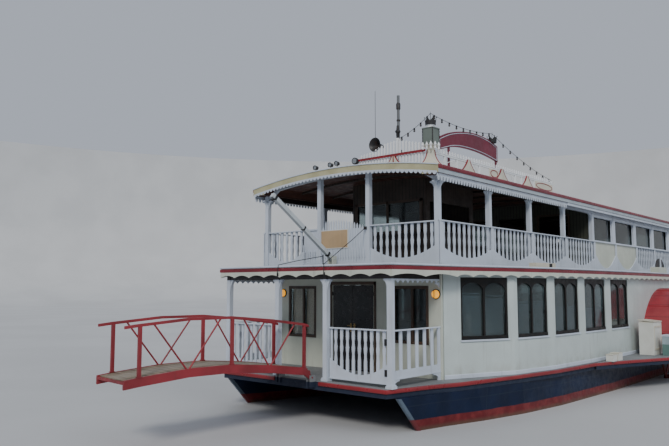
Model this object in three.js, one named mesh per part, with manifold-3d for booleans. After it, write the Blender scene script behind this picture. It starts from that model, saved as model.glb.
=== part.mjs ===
// Side-wheel paddle steamer with twin hulls, a closed lower saloon, an open promenade deck and a canopy roof.
// Millimetres. +X points to the bow, +Y to port, +Z up.
// The origin is on the centreline, at the waterline, below the front edge of the main deck.
import * as THREE from 'three';
import { mergeVertices } from 'three/addons/utils/BufferGeometryUtils.js';
import Module from 'manifold-3d';

const wasm = await Module();
wasm.setup();

// Heights above the waterline.
const HULL_BOTTOM = -750;
const DECK_UNDER = 700;
const DECK_TOP = 880;
const LIP_FOOT = 780;
const LIP_HEAD = 860;
const SLAB_UNDER = 3120;
const PROMENADE = 3300;
const ROOF_EDGE_UNDER = 5200;
const ROOF_EDGE = 5370;
const ROOF_CAMBER = 250;
const LOWER_RAIL_TOP = 2000;
const UPPER_RAIL_TOP = 4244;

// Stations along the boat.
const DECK_FRONT = 0;
const DECK_STERN = -26400;
const SALOON_FRONT = -1950;
const SALOON_STERN = -23000;
const UPPER_RAIL_X = -1570;
const UPPER_STERN = -24600;
const ROOF_FRONT = -1250;
const ROOF_STERN = -24950;
const WHEEL_X = -13470;

// Half widths.
const FRONT_HALF = 2450;
const SIDE_HALF = 3620;
const UPPER_HALF = 2600;
const ROOF_HALF = 2830;
const GUARD_HALF = 5050;
const LIP = 40;
const GUARD_SIDE = GUARD_HALF - LIP;

const CONTACT = 0.3;
const WALL = 60;
const POST = 110;

// Half width of the lower walls, stem to stern. Columns: x, half width.
const PLAN = [
  [SALOON_FRONT, 2470],
  [-3750, 3200],
  [-5300, 3450],
  [-7300, 3570],
  [-9500, SIDE_HALF],
  [SALOON_STERN, SIDE_HALF],
];

const group = new THREE.Group();

function material(colour, roughness, metalness = 0) {
  return new THREE.MeshStandardMaterial({ color: colour, roughness, metalness });
}

const PAINT_WHITE = ['#e9ecec', 0.45];
const PAINT_CREAM = ['#d9dccb', 0.5];
const PAINT_RED = ['#9c1f2b', 0.45];
const PAINT_NAVY = ['#1b2b4c', 0.4];
const DECK_GREY = ['#8d8f8c', 0.85];
const GLASS = ['#1b2426', 0.08];
const STEEL = ['#6d7275', 0.5, 0.7];
const DARK = ['#17191b', 0.5];

function toSolid(geometry) {
  const bare = geometry.clone();
  bare.deleteAttribute('normal');
  bare.deleteAttribute('uv');
  const merged = mergeVertices(bare, 1e-3);
  return new wasm.Manifold(new wasm.Mesh({
    numProp: 3,
    vertProperties: new Float32Array(merged.attributes.position.array),
    triVerts: new Uint32Array(merged.index.array),
  }));
}

function toGeometry(solid) {
  const mesh = solid.getMesh();
  const geometry = new THREE.BufferGeometry();
  geometry.setAttribute('position', new THREE.BufferAttribute(new Float32Array(mesh.vertProperties), 3));
  geometry.setIndex(new THREE.BufferAttribute(new Uint32Array(mesh.triVerts), 1));
  geometry.computeVertexNormals();
  return geometry;
}

function joined(geometries) {
  let solid = toSolid(geometries[0]);
  for (const geometry of geometries.slice(1)) {
    solid = solid.add(toSolid(geometry));
  }
  return toGeometry(solid);
}

function cut(geometry, tools) {
  let solid = toSolid(geometry);
  for (const tool of tools) {
    solid = solid.subtract(toSolid(tool));
  }
  return toGeometry(solid);
}

function add(name, geometry, finish) {
  const mesh = new THREE.Mesh(geometry, material(...finish));
  mesh.name = name;
  group.add(mesh);
}

function box(x0, x1, y0, y1, z0, z1) {
  const geometry = new THREE.BoxGeometry(x1 - x0, y1 - y0, z1 - z0);
  geometry.translate((x0 + x1) / 2, (y0 + y1) / 2, (z0 + z1) / 2);
  return geometry;
}

function outline(points) {
  return new THREE.Shape(points.map(([a, b]) => new THREE.Vector2(a, b)));
}

// A plan outline of x, y points raised from z0 to z1.
function plate(points, z0, z1) {
  const geometry = new THREE.ExtrudeGeometry(outline(points), { depth: z1 - z0, bevelEnabled: false });
  geometry.translate(0, 0, z0);
  return geometry;
}

// A side view outline of x, z points, made solid from y0 to y1.
function sideView(shape, y0, y1) {
  const geometry = new THREE.ExtrudeGeometry(shape, { depth: y1 - y0, bevelEnabled: false, curveSegments: 16 });
  geometry.rotateX(Math.PI / 2);
  geometry.translate(0, y1, 0);
  return geometry;
}

// A front view outline of y, z points, made solid from x0 to x1.
function frontView(shape, x0, x1) {
  const geometry = new THREE.ExtrudeGeometry(shape, { depth: x1 - x0, bevelEnabled: false, curveSegments: 12 });
  const turn = new THREE.Matrix4().makeBasis(
    new THREE.Vector3(0, 1, 0),
    new THREE.Vector3(0, 0, 1),
    new THREE.Vector3(1, 0, 0),
  );
  geometry.applyMatrix4(turn);
  geometry.translate(x0, 0, 0);
  return geometry;
}

// A board that stands on edge along the plan line from a to b. Its outline is in length and height,
// and its thickness lies to the left of the line.
function standing(shape, a, b, thickness) {
  const geometry = new THREE.ExtrudeGeometry(shape, { depth: thickness, bevelEnabled: false, curveSegments: 8 });
  geometry.rotateX(Math.PI / 2);
  geometry.translate(0, thickness, 0);
  geometry.rotateZ(Math.atan2(b[1] - a[1], b[0] - a[0]));
  geometry.translate(a[0], a[1], 0);
  return geometry;
}

// A cutter of the same outline that runs past both faces of such a board.
function through(shape, a, b, thickness) {
  const length = span(a, b);
  const side = [(-(b[1] - a[1]) / length) * thickness, ((b[0] - a[0]) / length) * thickness];
  return standing(shape, [a[0] - side[0], a[1] - side[1]], [b[0] - side[0], b[1] - side[1]], 3 * thickness);
}

function span(a, b) {
  return Math.hypot(b[0] - a[0], b[1] - a[1]);
}

// The same line moved sideways by a distance to its left, with mitred corners.
function shifted(points, distance) {
  const normals = points.slice(0, -1).map((a, i) => {
    const b = points[i + 1];
    const length = span(a, b);
    return [-(b[1] - a[1]) / length, (b[0] - a[0]) / length];
  });
  return points.map(([x, y], i) => {
    const before = normals[Math.max(i - 1, 0)];
    const after = normals[Math.min(i, normals.length - 1)];
    const scale = distance / (1 + before[0] * after[0] + before[1] * after[1]);
    return [x + (before[0] + after[0]) * scale, y + (before[1] + after[1]) * scale];
  });
}

// The point of a line that runs aft where it passes station x.
function alongX(points, x) {
  const i = points.findIndex((point, k) => k > 0 && point[0] <= x);
  const [a, b] = [points[i - 1], points[i]];
  const t = (a[0] - x) / (a[0] - b[0]);
  return [x, a[1] + (b[1] - a[1]) * t];
}

function mirrored(geometry) {
  const copy = geometry.index ? geometry.toNonIndexed() : geometry.clone();
  copy.deleteAttribute('normal');
  copy.deleteAttribute('uv');
  const position = copy.attributes.position;
  for (let i = 0; i < position.count; i += 3) {
    const [ax, ay, az] = [position.getX(i), position.getY(i), position.getZ(i)];
    const [bx, by, bz] = [position.getX(i + 1), position.getY(i + 1), position.getZ(i + 1)];
    position.setXYZ(i, bx, -by, bz);
    position.setXYZ(i + 1, ax, -ay, az);
    position.setY(i + 2, -position.getY(i + 2));
  }
  return mergeVertices(copy, 1e-3);
}

function addPair(name, geometry, finish) {
  add(`${name}_port`, geometry, finish);
  add(`${name}_stbd`, mirrored(geometry), finish);
}

// Twin hulls: flat bottom, raked stem, transom stern. Columns: x at the deck, rake per millimetre
// of depth, outer half width, inner half width, bottom height.
const STATIONS = [
  [-200, 0.96, 2530, 2470, HULL_BOTTOM],
  [-1100, 0.75, 2700, 2250, HULL_BOTTOM],
  [-2400, 0.4, 3000, 1950, HULL_BOTTOM],
  [-3900, 0.15, 3280, 1700, HULL_BOTTOM],
  [-5600, 0, 3470, 1560, HULL_BOTTOM],
  [-8800, 0, 3600, 1500, HULL_BOTTOM],
  [-21000, 0, 3600, 1500, HULL_BOTTOM],
  [-25300, 0, 3500, 1600, -350],
];
const STEM_LEVELS = [DECK_UNDER, 0];
const BILGE = 180;

function hull() {
  const rings = STATIONS.map(([x, rake, outer, inner, bottom]) => {
    const at = (y, z) => [x - rake * (DECK_UNDER - z), y, z];
    const middle = (outer + inner) / 2;
    const bilge = Math.min(BILGE, (outer - inner) * 0.25);
    const [top, water] = STEM_LEVELS;
    return [
      at(inner, top),
      at(inner, water),
      at(Math.min(inner + bilge, middle - 10), bottom),
      at(Math.max(outer - bilge, middle + 10), bottom),
      at(outer, water),
      at(outer, top),
    ];
  });
  return loft(rings);
}

// Closed solid through rings of equal point count, first to last, ordered anticlockwise as seen from ahead.
function loft(rings) {
  const count = rings[0].length;
  const position = [];
  const push = (a, b, c) => position.push(...a, ...b, ...c);
  for (let k = 0; k + 1 < rings.length; k += 1) {
    for (let i = 0; i < count; i += 1) {
      const j = (i + 1) % count;
      push(rings[k][i], rings[k + 1][i], rings[k + 1][j]);
      push(rings[k][i], rings[k + 1][j], rings[k][j]);
    }
  }
  const first = rings[0];
  const last = rings[rings.length - 1];
  for (let i = 1; i + 1 < count; i += 1) {
    push(first[0], first[i], first[i + 1]);
    push(last[0], last[i + 1], last[i]);
  }
  const geometry = new THREE.BufferGeometry();
  geometry.setAttribute('position', new THREE.BufferAttribute(new Float32Array(position), 3));
  return mergeVertices(geometry, 1e-3);
}

addPair('hull', hull(), PAINT_NAVY);

// Main deck platform across both hulls.
const deckSide = [[DECK_FRONT, FRONT_HALF - 60], [-1100, 2640], [-1900, 2900], ...PLAN.slice(1).map(([x, y]) => [x, y + 70])];
const sternCorner = [[DECK_STERN, SIDE_HALF + 70]];
const deckPort = [...deckSide.slice(0, -1), ...sternCorner];
const deckOutline = [...deckPort, ...deckPort.slice().reverse().map(([x, y]) => [x, -y])];

// Gangway hinge on the front edge of the deck. The gangway leads off a few degrees to starboard,
// so the lugs and the pin line turn with it about a point on the deck edge.
const GANG_PIVOT = [40, -30];
const GANG_TURN = -0.093;
const GANG_HALF = 532;
const STRINGER = 50;
const GANG_AXIS_Z = 960;
const PIN_RADIUS = 18;
const LUG = 35;
const LUG_GAP = 10;
const LUG_YS = [
  -GANG_HALF - LUG_GAP - LUG,
  -GANG_HALF + STRINGER + LUG_GAP,
  GANG_HALF - STRINGER - LUG_GAP - LUG,
  GANG_HALF + LUG_GAP,
];

// Places a geometry that was made along the gangway, about its pivot.
function onGangway(geometry) {
  geometry.rotateZ(GANG_TURN);
  geometry.translate(GANG_PIVOT[0], GANG_PIVOT[1], 0);
  return geometry;
}

// A round bar along the width of the boat.
function crossBar(x, z, radius, y0, y1) {
  const geometry = new THREE.CylinderGeometry(radius, radius, y1 - y0, 24);
  geometry.translate(x, (y0 + y1) / 2, z);
  return geometry;
}

// The radius of a bore whose flats clear a bar of the given radius by the contact gap.
function bore(radius) {
  return (radius + CONTACT) / Math.cos(Math.PI / 24);
}

// An upright round bar.
function upright(x, y, radius, z0, z1) {
  const geometry = new THREE.CylinderGeometry(radius, radius, z1 - z0, 24);
  geometry.rotateX(Math.PI / 2);
  geometry.translate(x, y, (z0 + z1) / 2);
  return geometry;
}

const RUDDER_X = -25750;
const RUDDER_Y = 2550;
const STOCK_RADIUS = 45;

const mainDeck = joined([
  plate(deckOutline, DECK_UNDER + CONTACT, DECK_TOP),
  ...LUG_YS.map((y) => onGangway(box(-95, 45, y, y + LUG, DECK_UNDER + 60, GANG_AXIS_Z + 45))),
  box(DECK_STERN - LIP, DECK_STERN + 20, -SIDE_HALF, SIDE_HALF, LIP_FOOT, LIP_HEAD),
]);
add('main_deck', cut(mainDeck, [
  onGangway(crossBar(0, GANG_AXIS_Z, bore(PIN_RADIUS), -GANG_HALF - 100, GANG_HALF + 100)),
  upright(RUDDER_X, RUDDER_Y, STOCK_RADIUS + 6, DECK_UNDER - 100, DECK_TOP + 100),
  upright(RUDDER_X, -RUDDER_Y, STOCK_RADIUS + 6, DECK_UNDER - 100, DECK_TOP + 100),
]), DECK_GREY);

// Guard outboard of the deck on each side. It bows out round the paddle well, and an outer beam with
// the outboard shaft bearing closes the well.
const GUARD_IN = SIDE_HALF + 70 + CONTACT;
const WELL_HALF = 1950;
const GUARD_SHOULDER = -11000;
const BEAM_IN = GUARD_SIDE - 160;
const BOX_OUT = GUARD_SIDE - 20;
const BOX_WALL = 50;
const AXLE_Z = 1000;
const SHAFT_RADIUS = 70;
const guardFore = [
  [WHEEL_X + WELL_HALF, GUARD_IN],
  [WHEEL_X + WELL_HALF, GUARD_SIDE],
  [GUARD_SHOULDER, GUARD_SIDE],
  [-10200, 4750],
  [-8700, 4150],
  [-7300, GUARD_IN],
];
const guardAft = guardFore.map(([x, y]) => [2 * WHEEL_X - x, y]).reverse();

// Deck lockers on the guard: a tall one against the paddle box and two low ones forward.
// Columns: first x, last x, first y, last y, height.
const LOCKERS = [
  [-11100, -10300, 3850, 4250, 930],
  [-8450, -8150, 3760, 3980, 190],
  [-8090, -7830, 3760, 3950, 170],
];

function shaftHole(radius, y0, y1) {
  return crossBar(WHEEL_X, AXLE_Z, radius, y0, y1);
}

const guard = joined([
  plate(guardFore.slice().reverse(), DECK_UNDER, DECK_TOP),
  plate(guardAft.slice().reverse(), DECK_UNDER, DECK_TOP),
  box(WHEEL_X - WELL_HALF - 10, WHEEL_X + WELL_HALF + 10, BEAM_IN, GUARD_SIDE, DECK_UNDER, DECK_TOP),
  box(2 * WHEEL_X - GUARD_SHOULDER, GUARD_SHOULDER, BEAM_IN + 20, GUARD_HALF, LIP_FOOT, LIP_HEAD),
  box(WHEEL_X - 170, WHEEL_X + 170, BEAM_IN, BOX_OUT - BOX_WALL - 6, DECK_TOP - 20, AXLE_Z + 150),
  ...LOCKERS.map(([x0, x1, y0, y1, height]) => box(x0, x1, y0, y1, DECK_TOP - 10, DECK_TOP + height)),
]);
addPair('guard', cut(guard, [shaftHole(bore(SHAFT_RADIUS), BEAM_IN - 100, GUARD_HALF + 100)]), DECK_GREY);

// Lower walls with window openings between the piers. Columns: first x, last x of each opening.
const SILL = 1690;
const LINTEL = 3045;
const SIDE_WINDOWS = [
  [-2370, -3590],
  [-3880, -5070],
  [-5390, -6670],
  [-7040, -8390],
  [-8800, -10180],
  [-16350, -17650],
  [-18000, -19300],
  [-19650, -20950],
  [-21300, -22600],
];

function rectangle(s0, s1, t0, t1) {
  return outline([[s0, t0], [s1, t0], [s1, t1], [s0, t1]]);
}

// A wall of even thickness whose outer face follows plan points, with window openings.
function wallRun(points, windows, z0, z1, sill, lintel, thickness) {
  const band = plate([...points, ...shifted(points, thickness).reverse()], z0, z1);
  const openings = windows.map(([x0, x1]) => {
    const a = alongX(points, x0);
    const b = alongX(points, x1);
    return through(rectangle(0, span(a, b), sill, lintel), a, b, thickness);
  });
  return cut(band, openings);
}

const WALL_FOOT = DECK_TOP + CONTACT;
const WALL_HEAD = SLAB_UNDER - CONTACT;
const lowerWall = wallRun(PLAN, SIDE_WINDOWS, WALL_FOOT, WALL_HEAD, SILL, LINTEL, WALL);

// The paddle shaft runs from the engine through the saloon wall and both cheeks of the paddle box.
const SHAFT_START = 902;
const SHAFT_END = GUARD_SIDE + 20;

addPair('lower_wall', cut(lowerWall, [shaftHole(120, SIDE_HALF - 200, SIDE_HALF + 200)]), PAINT_CREAM);

// Front and stern walls of the saloon, with the double door opening in the middle of each.
const DOOR_HALF = 620;
const DOOR_HEAD = 2880;
const FRONT_WINDOWS = [[-2130, -1180], [1180, 2130]];
const FRONT_SILL = 1590;
const FRONT_LINTEL = 2860;

function crossWall(x0, half) {
  const wall = box(x0, x0 + WALL, -half, half, WALL_FOOT, WALL_HEAD);
  const openings = FRONT_WINDOWS.map(([y0, y1]) => box(x0 - WALL, x0 + 2 * WALL, y0, y1, FRONT_SILL, FRONT_LINTEL));
  openings.push(box(x0 - WALL, x0 + 2 * WALL, -DOOR_HALF, DOOR_HALF, WALL_FOOT - 50, DOOR_HEAD));
  return cut(wall, openings);
}

add('front_wall', crossWall(SALOON_FRONT + 2, 2470 - 20), PAINT_CREAM);
add('stern_wall', crossWall(SALOON_STERN - WALL - 2, SIDE_HALF - 5), PAINT_CREAM);

// Window panes behind the openings, one glazed sheet to each wall.
const GLASS_GAP = CONTACT;
const GLASS_THICK = 12;
const GLASS_LAP = 60;
const GLASS_FOOT = SILL - GLASS_LAP;
const GLASS_HEAD = LINTEL + GLASS_LAP;

function glazing(points) {
  return plate([...points, ...shifted(points, GLASS_THICK).reverse()], GLASS_FOOT, GLASS_HEAD);
}

const paneLine = shifted(PLAN, WALL + GLASS_GAP);
const PANE_Y = paneLine[5][1];
addPair('lower_glass_fore', glazing([alongX(paneLine, -2120), ...paneLine.slice(1, 5), [-11200, PANE_Y]]), GLASS);
addPair('lower_glass_aft', glazing([[-16100, PANE_Y], [-22720, PANE_Y]]), GLASS);

function crossGlass(x) {
  return box(x, x + GLASS_THICK, FRONT_WINDOWS[1][0] - 40, FRONT_WINDOWS[1][1] + 40, FRONT_SILL - GLASS_LAP, FRONT_LINTEL + GLASS_LAP);
}

addPair('front_glass', crossGlass(SALOON_FRONT + 2 - CONTACT - GLASS_THICK), GLASS);
addPair('stern_glass', crossGlass(SALOON_STERN - 2 + CONTACT), GLASS);

// Promenade deck over the saloon, the fore deck and the stern deck.
const SLAB_OVER = 110;
const slabSide = [[20, FRONT_HALF + 90], [-1900, 2830], ...PLAN.slice(1, -1).map(([x, y]) => [x, y + SLAB_OVER])];
const slabStern = [[UPPER_STERN - 400, SIDE_HALF + SLAB_OVER]];
const slabPort = [...slabSide, ...slabStern];
const slabOutline = [...slabPort, ...slabPort.slice().reverse().map(([x, y]) => [x, -y])];

// Step of the gangway boom on the front ledge: two cheeks with a bore for the heel pin.
const BOOM_FOOT = [-1375, -200, 3495];
const BOOM_TIP = [597, -200, 4824];
const BOOM_HALF = 45;
const CHEEK = 25;

function boomCheek(y) {
  return box(BOOM_FOOT[0] - 70, BOOM_FOOT[0] + 70, y, y + CHEEK, PROMENADE - 20, BOOM_FOOT[2] + 60);
}

const promenade = joined([
  plate(slabOutline, SLAB_UNDER, PROMENADE),
  boomCheek(BOOM_FOOT[1] - BOOM_HALF - 8 - CHEEK),
  boomCheek(BOOM_FOOT[1] + BOOM_HALF + 8),
]);
add('promenade_deck', cut(promenade, [
  crossBar(BOOM_FOOT[0], BOOM_FOOT[2], bore(PIN_RADIUS), BOOM_FOOT[1] - 200, BOOM_FOOT[1] + 200),
]), PAINT_WHITE);

// Fore deck colonnade: four posts under one beam.
const POST_YS = [-2400, -720, 720, 2400];
const COLONNADE_X = -150;
const BEAM = 120;

function colonnade(x, ys, foot, head) {
  const pieces = [box(x - 45, x + 45, ys[0] - 55, ys[ys.length - 1] + 55, head - BEAM, head)];
  for (const y of ys) {
    pieces.push(box(x - POST / 2, x + POST / 2, y - POST / 2, y + POST / 2, foot, head - 10));
  }
  return joined(pieces);
}

add('fore_colonnade', colonnade(COLONNADE_X, POST_YS, DECK_TOP + CONTACT, SLAB_UNDER - CONTACT), PAINT_WHITE);

// Balustrade bay: a board pierced by slots between flat balusters, with a dipping lower board.
const RAIL_THICK = 45;

function balustrade(a, b, foot, top, count, lowest, highest) {
  const length = span(a, b);
  const steps = 4;
  const board = [[0, foot], [length, foot]];
  for (let i = steps; i >= 0; i -= 1) {
    const u = (2 * i) / steps - 1;
    board.push([(length * i) / steps, foot + lowest + (highest - lowest) * u * u]);
  }
  const pieces = [
    standing(outline(board), a, b, RAIL_THICK),
    standing(rectangle(0, length, top - 80, top), a, b, RAIL_THICK),
    standing(rectangle(0, 50, foot + 50, top - 20), a, b, RAIL_THICK),
    standing(rectangle(length - 50, length, foot + 50, top - 20), a, b, RAIL_THICK),
  ];
  const pitch = (length - 60) / count;
  const half = pitch * 0.28;
  for (let i = 0; i < count; i += 1) {
    const s = 30 + (i + 0.5) * pitch;
    pieces.push(standing(rectangle(s - half, s + half, foot + 100, top - 40), a, b, RAIL_THICK));
  }
  return joined(pieces);
}

const LOWER_FOOT = DECK_TOP + 60;
const UPPER_FOOT = PROMENADE + CONTACT;

function railBetween(a, b, foot, top, slots) {
  return balustrade(a, b, foot, top, slots, 200, 420);
}

const GAP_AT_POST = POST / 2 + 6;
const RAIL_X = COLONNADE_X + RAIL_THICK / 2;
const foreRailStbd = railBetween([RAIL_X, -2400 + GAP_AT_POST], [RAIL_X, -720 - GAP_AT_POST], LOWER_FOOT, LOWER_RAIL_TOP, 10);
add('fore_rail_stbd', joined([
  foreRailStbd,
  box(RAIL_X - RAIL_THICK, RAIL_X, -2338, -2278, DECK_TOP + CONTACT, LOWER_FOOT + 20),
  box(RAIL_X - RAIL_THICK, RAIL_X, -842, -782, DECK_TOP + CONTACT, LOWER_FOOT + 20),
]), PAINT_WHITE);

// Hinge barrels and straps. The pin line stands just outside the face that the leaf closes flush with.
const BARREL = 10;
const BARREL_LENGTH = 90;
const BARREL_OUT = BARREL + CONTACT;
const STRAP = 8;
const STRAP_REACH = 70;

// A block whose corners may be given in any order along x and y.
function block(xa, xb, ya, yb, z0, z1) {
  return box(Math.min(xa, xb), Math.max(xa, xb), Math.min(ya, yb), Math.max(ya, yb), z0, z1);
}

// faceX is the closed face, outward is +1 or -1 along X, and inward points from the pin line to the leaf.
function hinges(faceX, outward, y, inward, heights) {
  const x = faceX + outward * BARREL_OUT;
  const rootY = y + inward * 12;
  return heights.flatMap((z) => [
    upright(x, y, BARREL, z, z + BARREL_LENGTH),
    block(faceX - outward * STRAP, faceX + outward * STRAP, rootY, y + inward * STRAP_REACH, z + 10, z + BARREL_LENGTH - 10),
    block(faceX + outward, faceX + outward * STRAP, y, rootY + inward * 2, z + 10, z + BARREL_LENGTH - 10),
  ]);
}

const GATE_X = COLONNADE_X - POST / 2;
const GATE_PIN_Y = 2346;
const gate = railBetween([GATE_X + RAIL_THICK, 720 + GAP_AT_POST + 20], [GATE_X + RAIL_THICK, GATE_PIN_Y - 6], LOWER_FOOT, LOWER_RAIL_TOP, 10);
add('fore_gate', joined([gate, ...hinges(GATE_X, -1, GATE_PIN_Y, -1, [LOWER_FOOT + 60, LOWER_RAIL_TOP - 170])]), PAINT_WHITE);
const foreBay = railBetween([-1880, 2380], [-150 - GAP_AT_POST, 2380], LOWER_FOOT, LOWER_RAIL_TOP, 7);
addPair('fore_side_rail', joined([foreBay, box(-1870, -1820, 2381, 2420, DECK_TOP + CONTACT, LOWER_FOOT + 20)]), PAINT_WHITE);

// Cambered canopy roof.
const ROOF_STEPS = 12;
const ROOF_THICK = 60;

function roofArc(height, half) {
  const points = [];
  for (let i = 0; i <= ROOF_STEPS; i += 1) {
    const y = half * (1 - (2 * i) / ROOF_STEPS);
    points.push([y, height + ROOF_CAMBER * (1 - (y / half) ** 2)]);
  }
  return points;
}

const roofTop = roofArc(ROOF_EDGE, ROOF_HALF);
const EAVE = 400;
const ceiling = [
  [ROOF_HALF - EAVE, ROOF_EDGE_UNDER],
  ...roofArc(ROOF_EDGE - ROOF_THICK, ROOF_HALF - 60).slice(1, -1),
  [-ROOF_HALF + EAVE, ROOF_EDGE_UNDER],
];
const roofSection = outline([
  ...roofTop,
  [-ROOF_HALF, ROOF_EDGE_UNDER],
  ...ceiling.slice().reverse(),
  [ROOF_HALF, ROOF_EDGE_UNDER],
]);
const FASCIA = 40;
const fasciaShape = outline([...roofTop, ...roofArc(ROOF_EDGE_UNDER, ROOF_HALF).reverse()]);
add('roof', joined([
  frontView(roofSection, ROOF_STERN, ROOF_FRONT),
  frontView(fasciaShape, ROOF_FRONT - FASCIA, ROOF_FRONT),
  frontView(fasciaShape, ROOF_STERN, ROOF_STERN + FASCIA),
]), PAINT_CREAM);

// A cross panel that reaches up to the ceiling, between half widths, with its foot at a height.
function underRoof(half, foot, x0, x1) {
  const top = ceiling.map(([y, z]) => [y, z - CONTACT]);
  const inner = top.filter(([y]) => Math.abs(y) < half);
  const edge = ceilingAt(half) - CONTACT;
  return frontView(outline([[half, foot], [half, edge], ...inner, [-half, edge], [-half, foot]]), x0, x1);
}

function ceilingAt(half) {
  const i = ceiling.findIndex(([y]) => y < half);
  if (i === 0) return ROOF_EDGE_UNDER;
  const [a, b] = [ceiling[i - 1], ceiling[i]];
  return a[1] + ((b[1] - a[1]) * (a[0] - half)) / (a[0] - b[0]);
}

// Promenade deck colonnades and balustrades. Post stations along each side.
const SIDE_POSTS = [UPPER_RAIL_X, -3770, -5920, -8070, -10220, -12100, -14200, -16250, -18300, -20400, -22500, -24600];
const UPPER_HEAD = ROOF_EDGE_UNDER - CONTACT;
const SCREEN_POSTS = [-750, 750];

function sidePosts() {
  const pieces = [box(SIDE_POSTS[11] - 45, SIDE_POSTS[0] + 45, UPPER_HALF - 45, UPPER_HALF + 45, UPPER_HEAD - BEAM, UPPER_HEAD)];
  for (const x of SIDE_POSTS) {
    pieces.push(box(x - POST / 2, x + POST / 2, UPPER_HALF - POST / 2, UPPER_HALF + POST / 2, UPPER_FOOT, UPPER_HEAD - 10));
  }
  return joined(pieces);
}

// The balustrade runs past the outboard faces of the posts. Two bays amidships are panelled.
const RAIL_LINE = UPPER_HALF + POST / 2 + CONTACT;

function sideRail() {
  const pieces = [];
  for (let i = 0; i + 1 < SIDE_POSTS.length; i += 1) {
    const a = [SIDE_POSTS[i + 1] - 6, RAIL_LINE];
    const b = [SIDE_POSTS[i] + 6, RAIL_LINE];
    const closed = i === 4 || i === 5;
    pieces.push(closed
      ? standing(rectangle(0, span(a, b), UPPER_FOOT, UPPER_RAIL_TOP), a, b, RAIL_THICK)
      : balustrade(a, b, UPPER_FOOT, UPPER_RAIL_TOP, 8, 180, 330));
  }
  return joined(pieces);
}

addPair('upper_posts', sidePosts(), PAINT_WHITE);
addPair('upper_rail', sideRail(), PAINT_WHITE);

function archedHeader(x, half) {
  const top = ceiling.map(([y, z]) => [y, z - CONTACT]);
  const under = top.slice(1, -1).map(([y, z]) => [y, z - BEAM]);
  const shape = outline([
    [half, UPPER_HEAD],
    ...top,
    [-half, UPPER_HEAD],
    [-half, UPPER_HEAD - BEAM],
    ...under.reverse(),
    [half, UPPER_HEAD - BEAM],
  ]);
  return frontView(shape, x - 45, x + 45);
}

function endScreen(x) {
  const ends = UPPER_HALF - POST / 2 - 6;
  const ys = [-ends, ...SCREEN_POSTS, ends];
  const pieces = [archedHeader(x, ends)];
  for (const y of SCREEN_POSTS) {
    pieces.push(box(x - POST / 2, x + POST / 2, y - POST / 2, y + POST / 2, UPPER_FOOT, ceilingAt(Math.abs(y)) - BEAM / 2));
  }
  for (let i = 0; i + 1 < ys.length; i += 1) {
    const a = [x + 22, ys[i]];
    const b = [x + 22, ys[i + 1]];
    pieces.push(balustrade(a, b, UPPER_FOOT, UPPER_RAIL_TOP, 7, 180, 330));
  }
  return joined(pieces);
}

add('upper_front', endScreen(UPPER_RAIL_X), PAINT_WHITE);
add('upper_stern', endScreen(UPPER_STERN), PAINT_WHITE);

// Closed upper saloon amidships: glazed side bays between two cross walls.
const LOUNGE_FRONT = -10160;
const LOUNGE_STERN = -18360;
const UPPER_PANE_Y = UPPER_HALF - POST / 2 - CONTACT - GLASS_THICK;
const LOUNGE_HALF = UPPER_PANE_Y - CONTACT;
const CROSS_WINDOWS = [[-1900, -950], [950, 1900]];
const LOUNGE_DOOR_HALF = 450;
addPair('upper_glass', box(LOUNGE_STERN, LOUNGE_FRONT, UPPER_PANE_Y, UPPER_PANE_Y + GLASS_THICK, UPPER_RAIL_TOP - 40, UPPER_HEAD - 40), GLASS);

function loungeWall(x) {
  return cut(underRoof(LOUNGE_HALF, UPPER_FOOT, x, x + WALL), [
    ...CROSS_WINDOWS.map(([y0, y1]) => box(x - WALL, x + 2 * WALL, y0, y1, UPPER_RAIL_TOP, UPPER_HEAD - BEAM)),
    box(x - WALL, x + 2 * WALL, -LOUNGE_DOOR_HALF, LOUNGE_DOOR_HALF, UPPER_FOOT - 50, UPPER_HEAD - BEAM),
  ]);
}

add('lounge_wall_fore', loungeWall(LOUNGE_FRONT - WALL), PAINT_CREAM);
add('lounge_wall_aft', loungeWall(LOUNGE_STERN), PAINT_CREAM);

// Wheelhouse under the front of the roof.
const HOUSE_FRONT = -3300;
const HOUSE_BACK = -5600;
const HOUSE_HALF = 1150;
const HOUSE_FLOOR = PROMENADE + 40;
const houseOuter = underRoof(HOUSE_HALF, UPPER_FOOT, HOUSE_BACK, HOUSE_FRONT);
const houseInner = box(HOUSE_BACK + WALL, HOUSE_FRONT - WALL, -HOUSE_HALF + WALL, HOUSE_HALF - WALL, HOUSE_FLOOR, ROOF_EDGE + 400);
const houseWindows = [
  box(HOUSE_FRONT - 200, HOUSE_FRONT + 200, -1000, 1000, 4250, 4950),
  box(HOUSE_BACK + 200, HOUSE_FRONT - 200, -HOUSE_HALF - 100, HOUSE_HALF + 100, 4250, 4950),
  box(HOUSE_BACK - 200, HOUSE_BACK + 200, -1000, -200, HOUSE_FLOOR, 5000),
];
add('wheelhouse', cut(houseOuter, [houseInner, ...houseWindows]), PAINT_CREAM);
const HOUSE_PIN_Y = -1001;
add('wheelhouse_door', joined([
  box(HOUSE_BACK, HOUSE_BACK + 40, -992, -206, HOUSE_FLOOR + 8, 4992),
  ...hinges(HOUSE_BACK, -1, HOUSE_PIN_Y, 1, [HOUSE_FLOOR + 150, 4750]),
]), PAINT_WHITE);

// Saloon doors, two leaves at the front and two at the stern, hung on barrels outside the wall.
const DOOR_GAP = 8;
const LEAF = 40;
const FRONT_FACE = SALOON_FRONT + 2 + WALL;
const STERN_FACE = SALOON_STERN - 2 - WALL;
const DOOR_PIN_Y = DOOR_HALF + 1;
const DOOR_HINGES = [WALL_FOOT + 150, DOOR_HEAD - 250];

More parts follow.
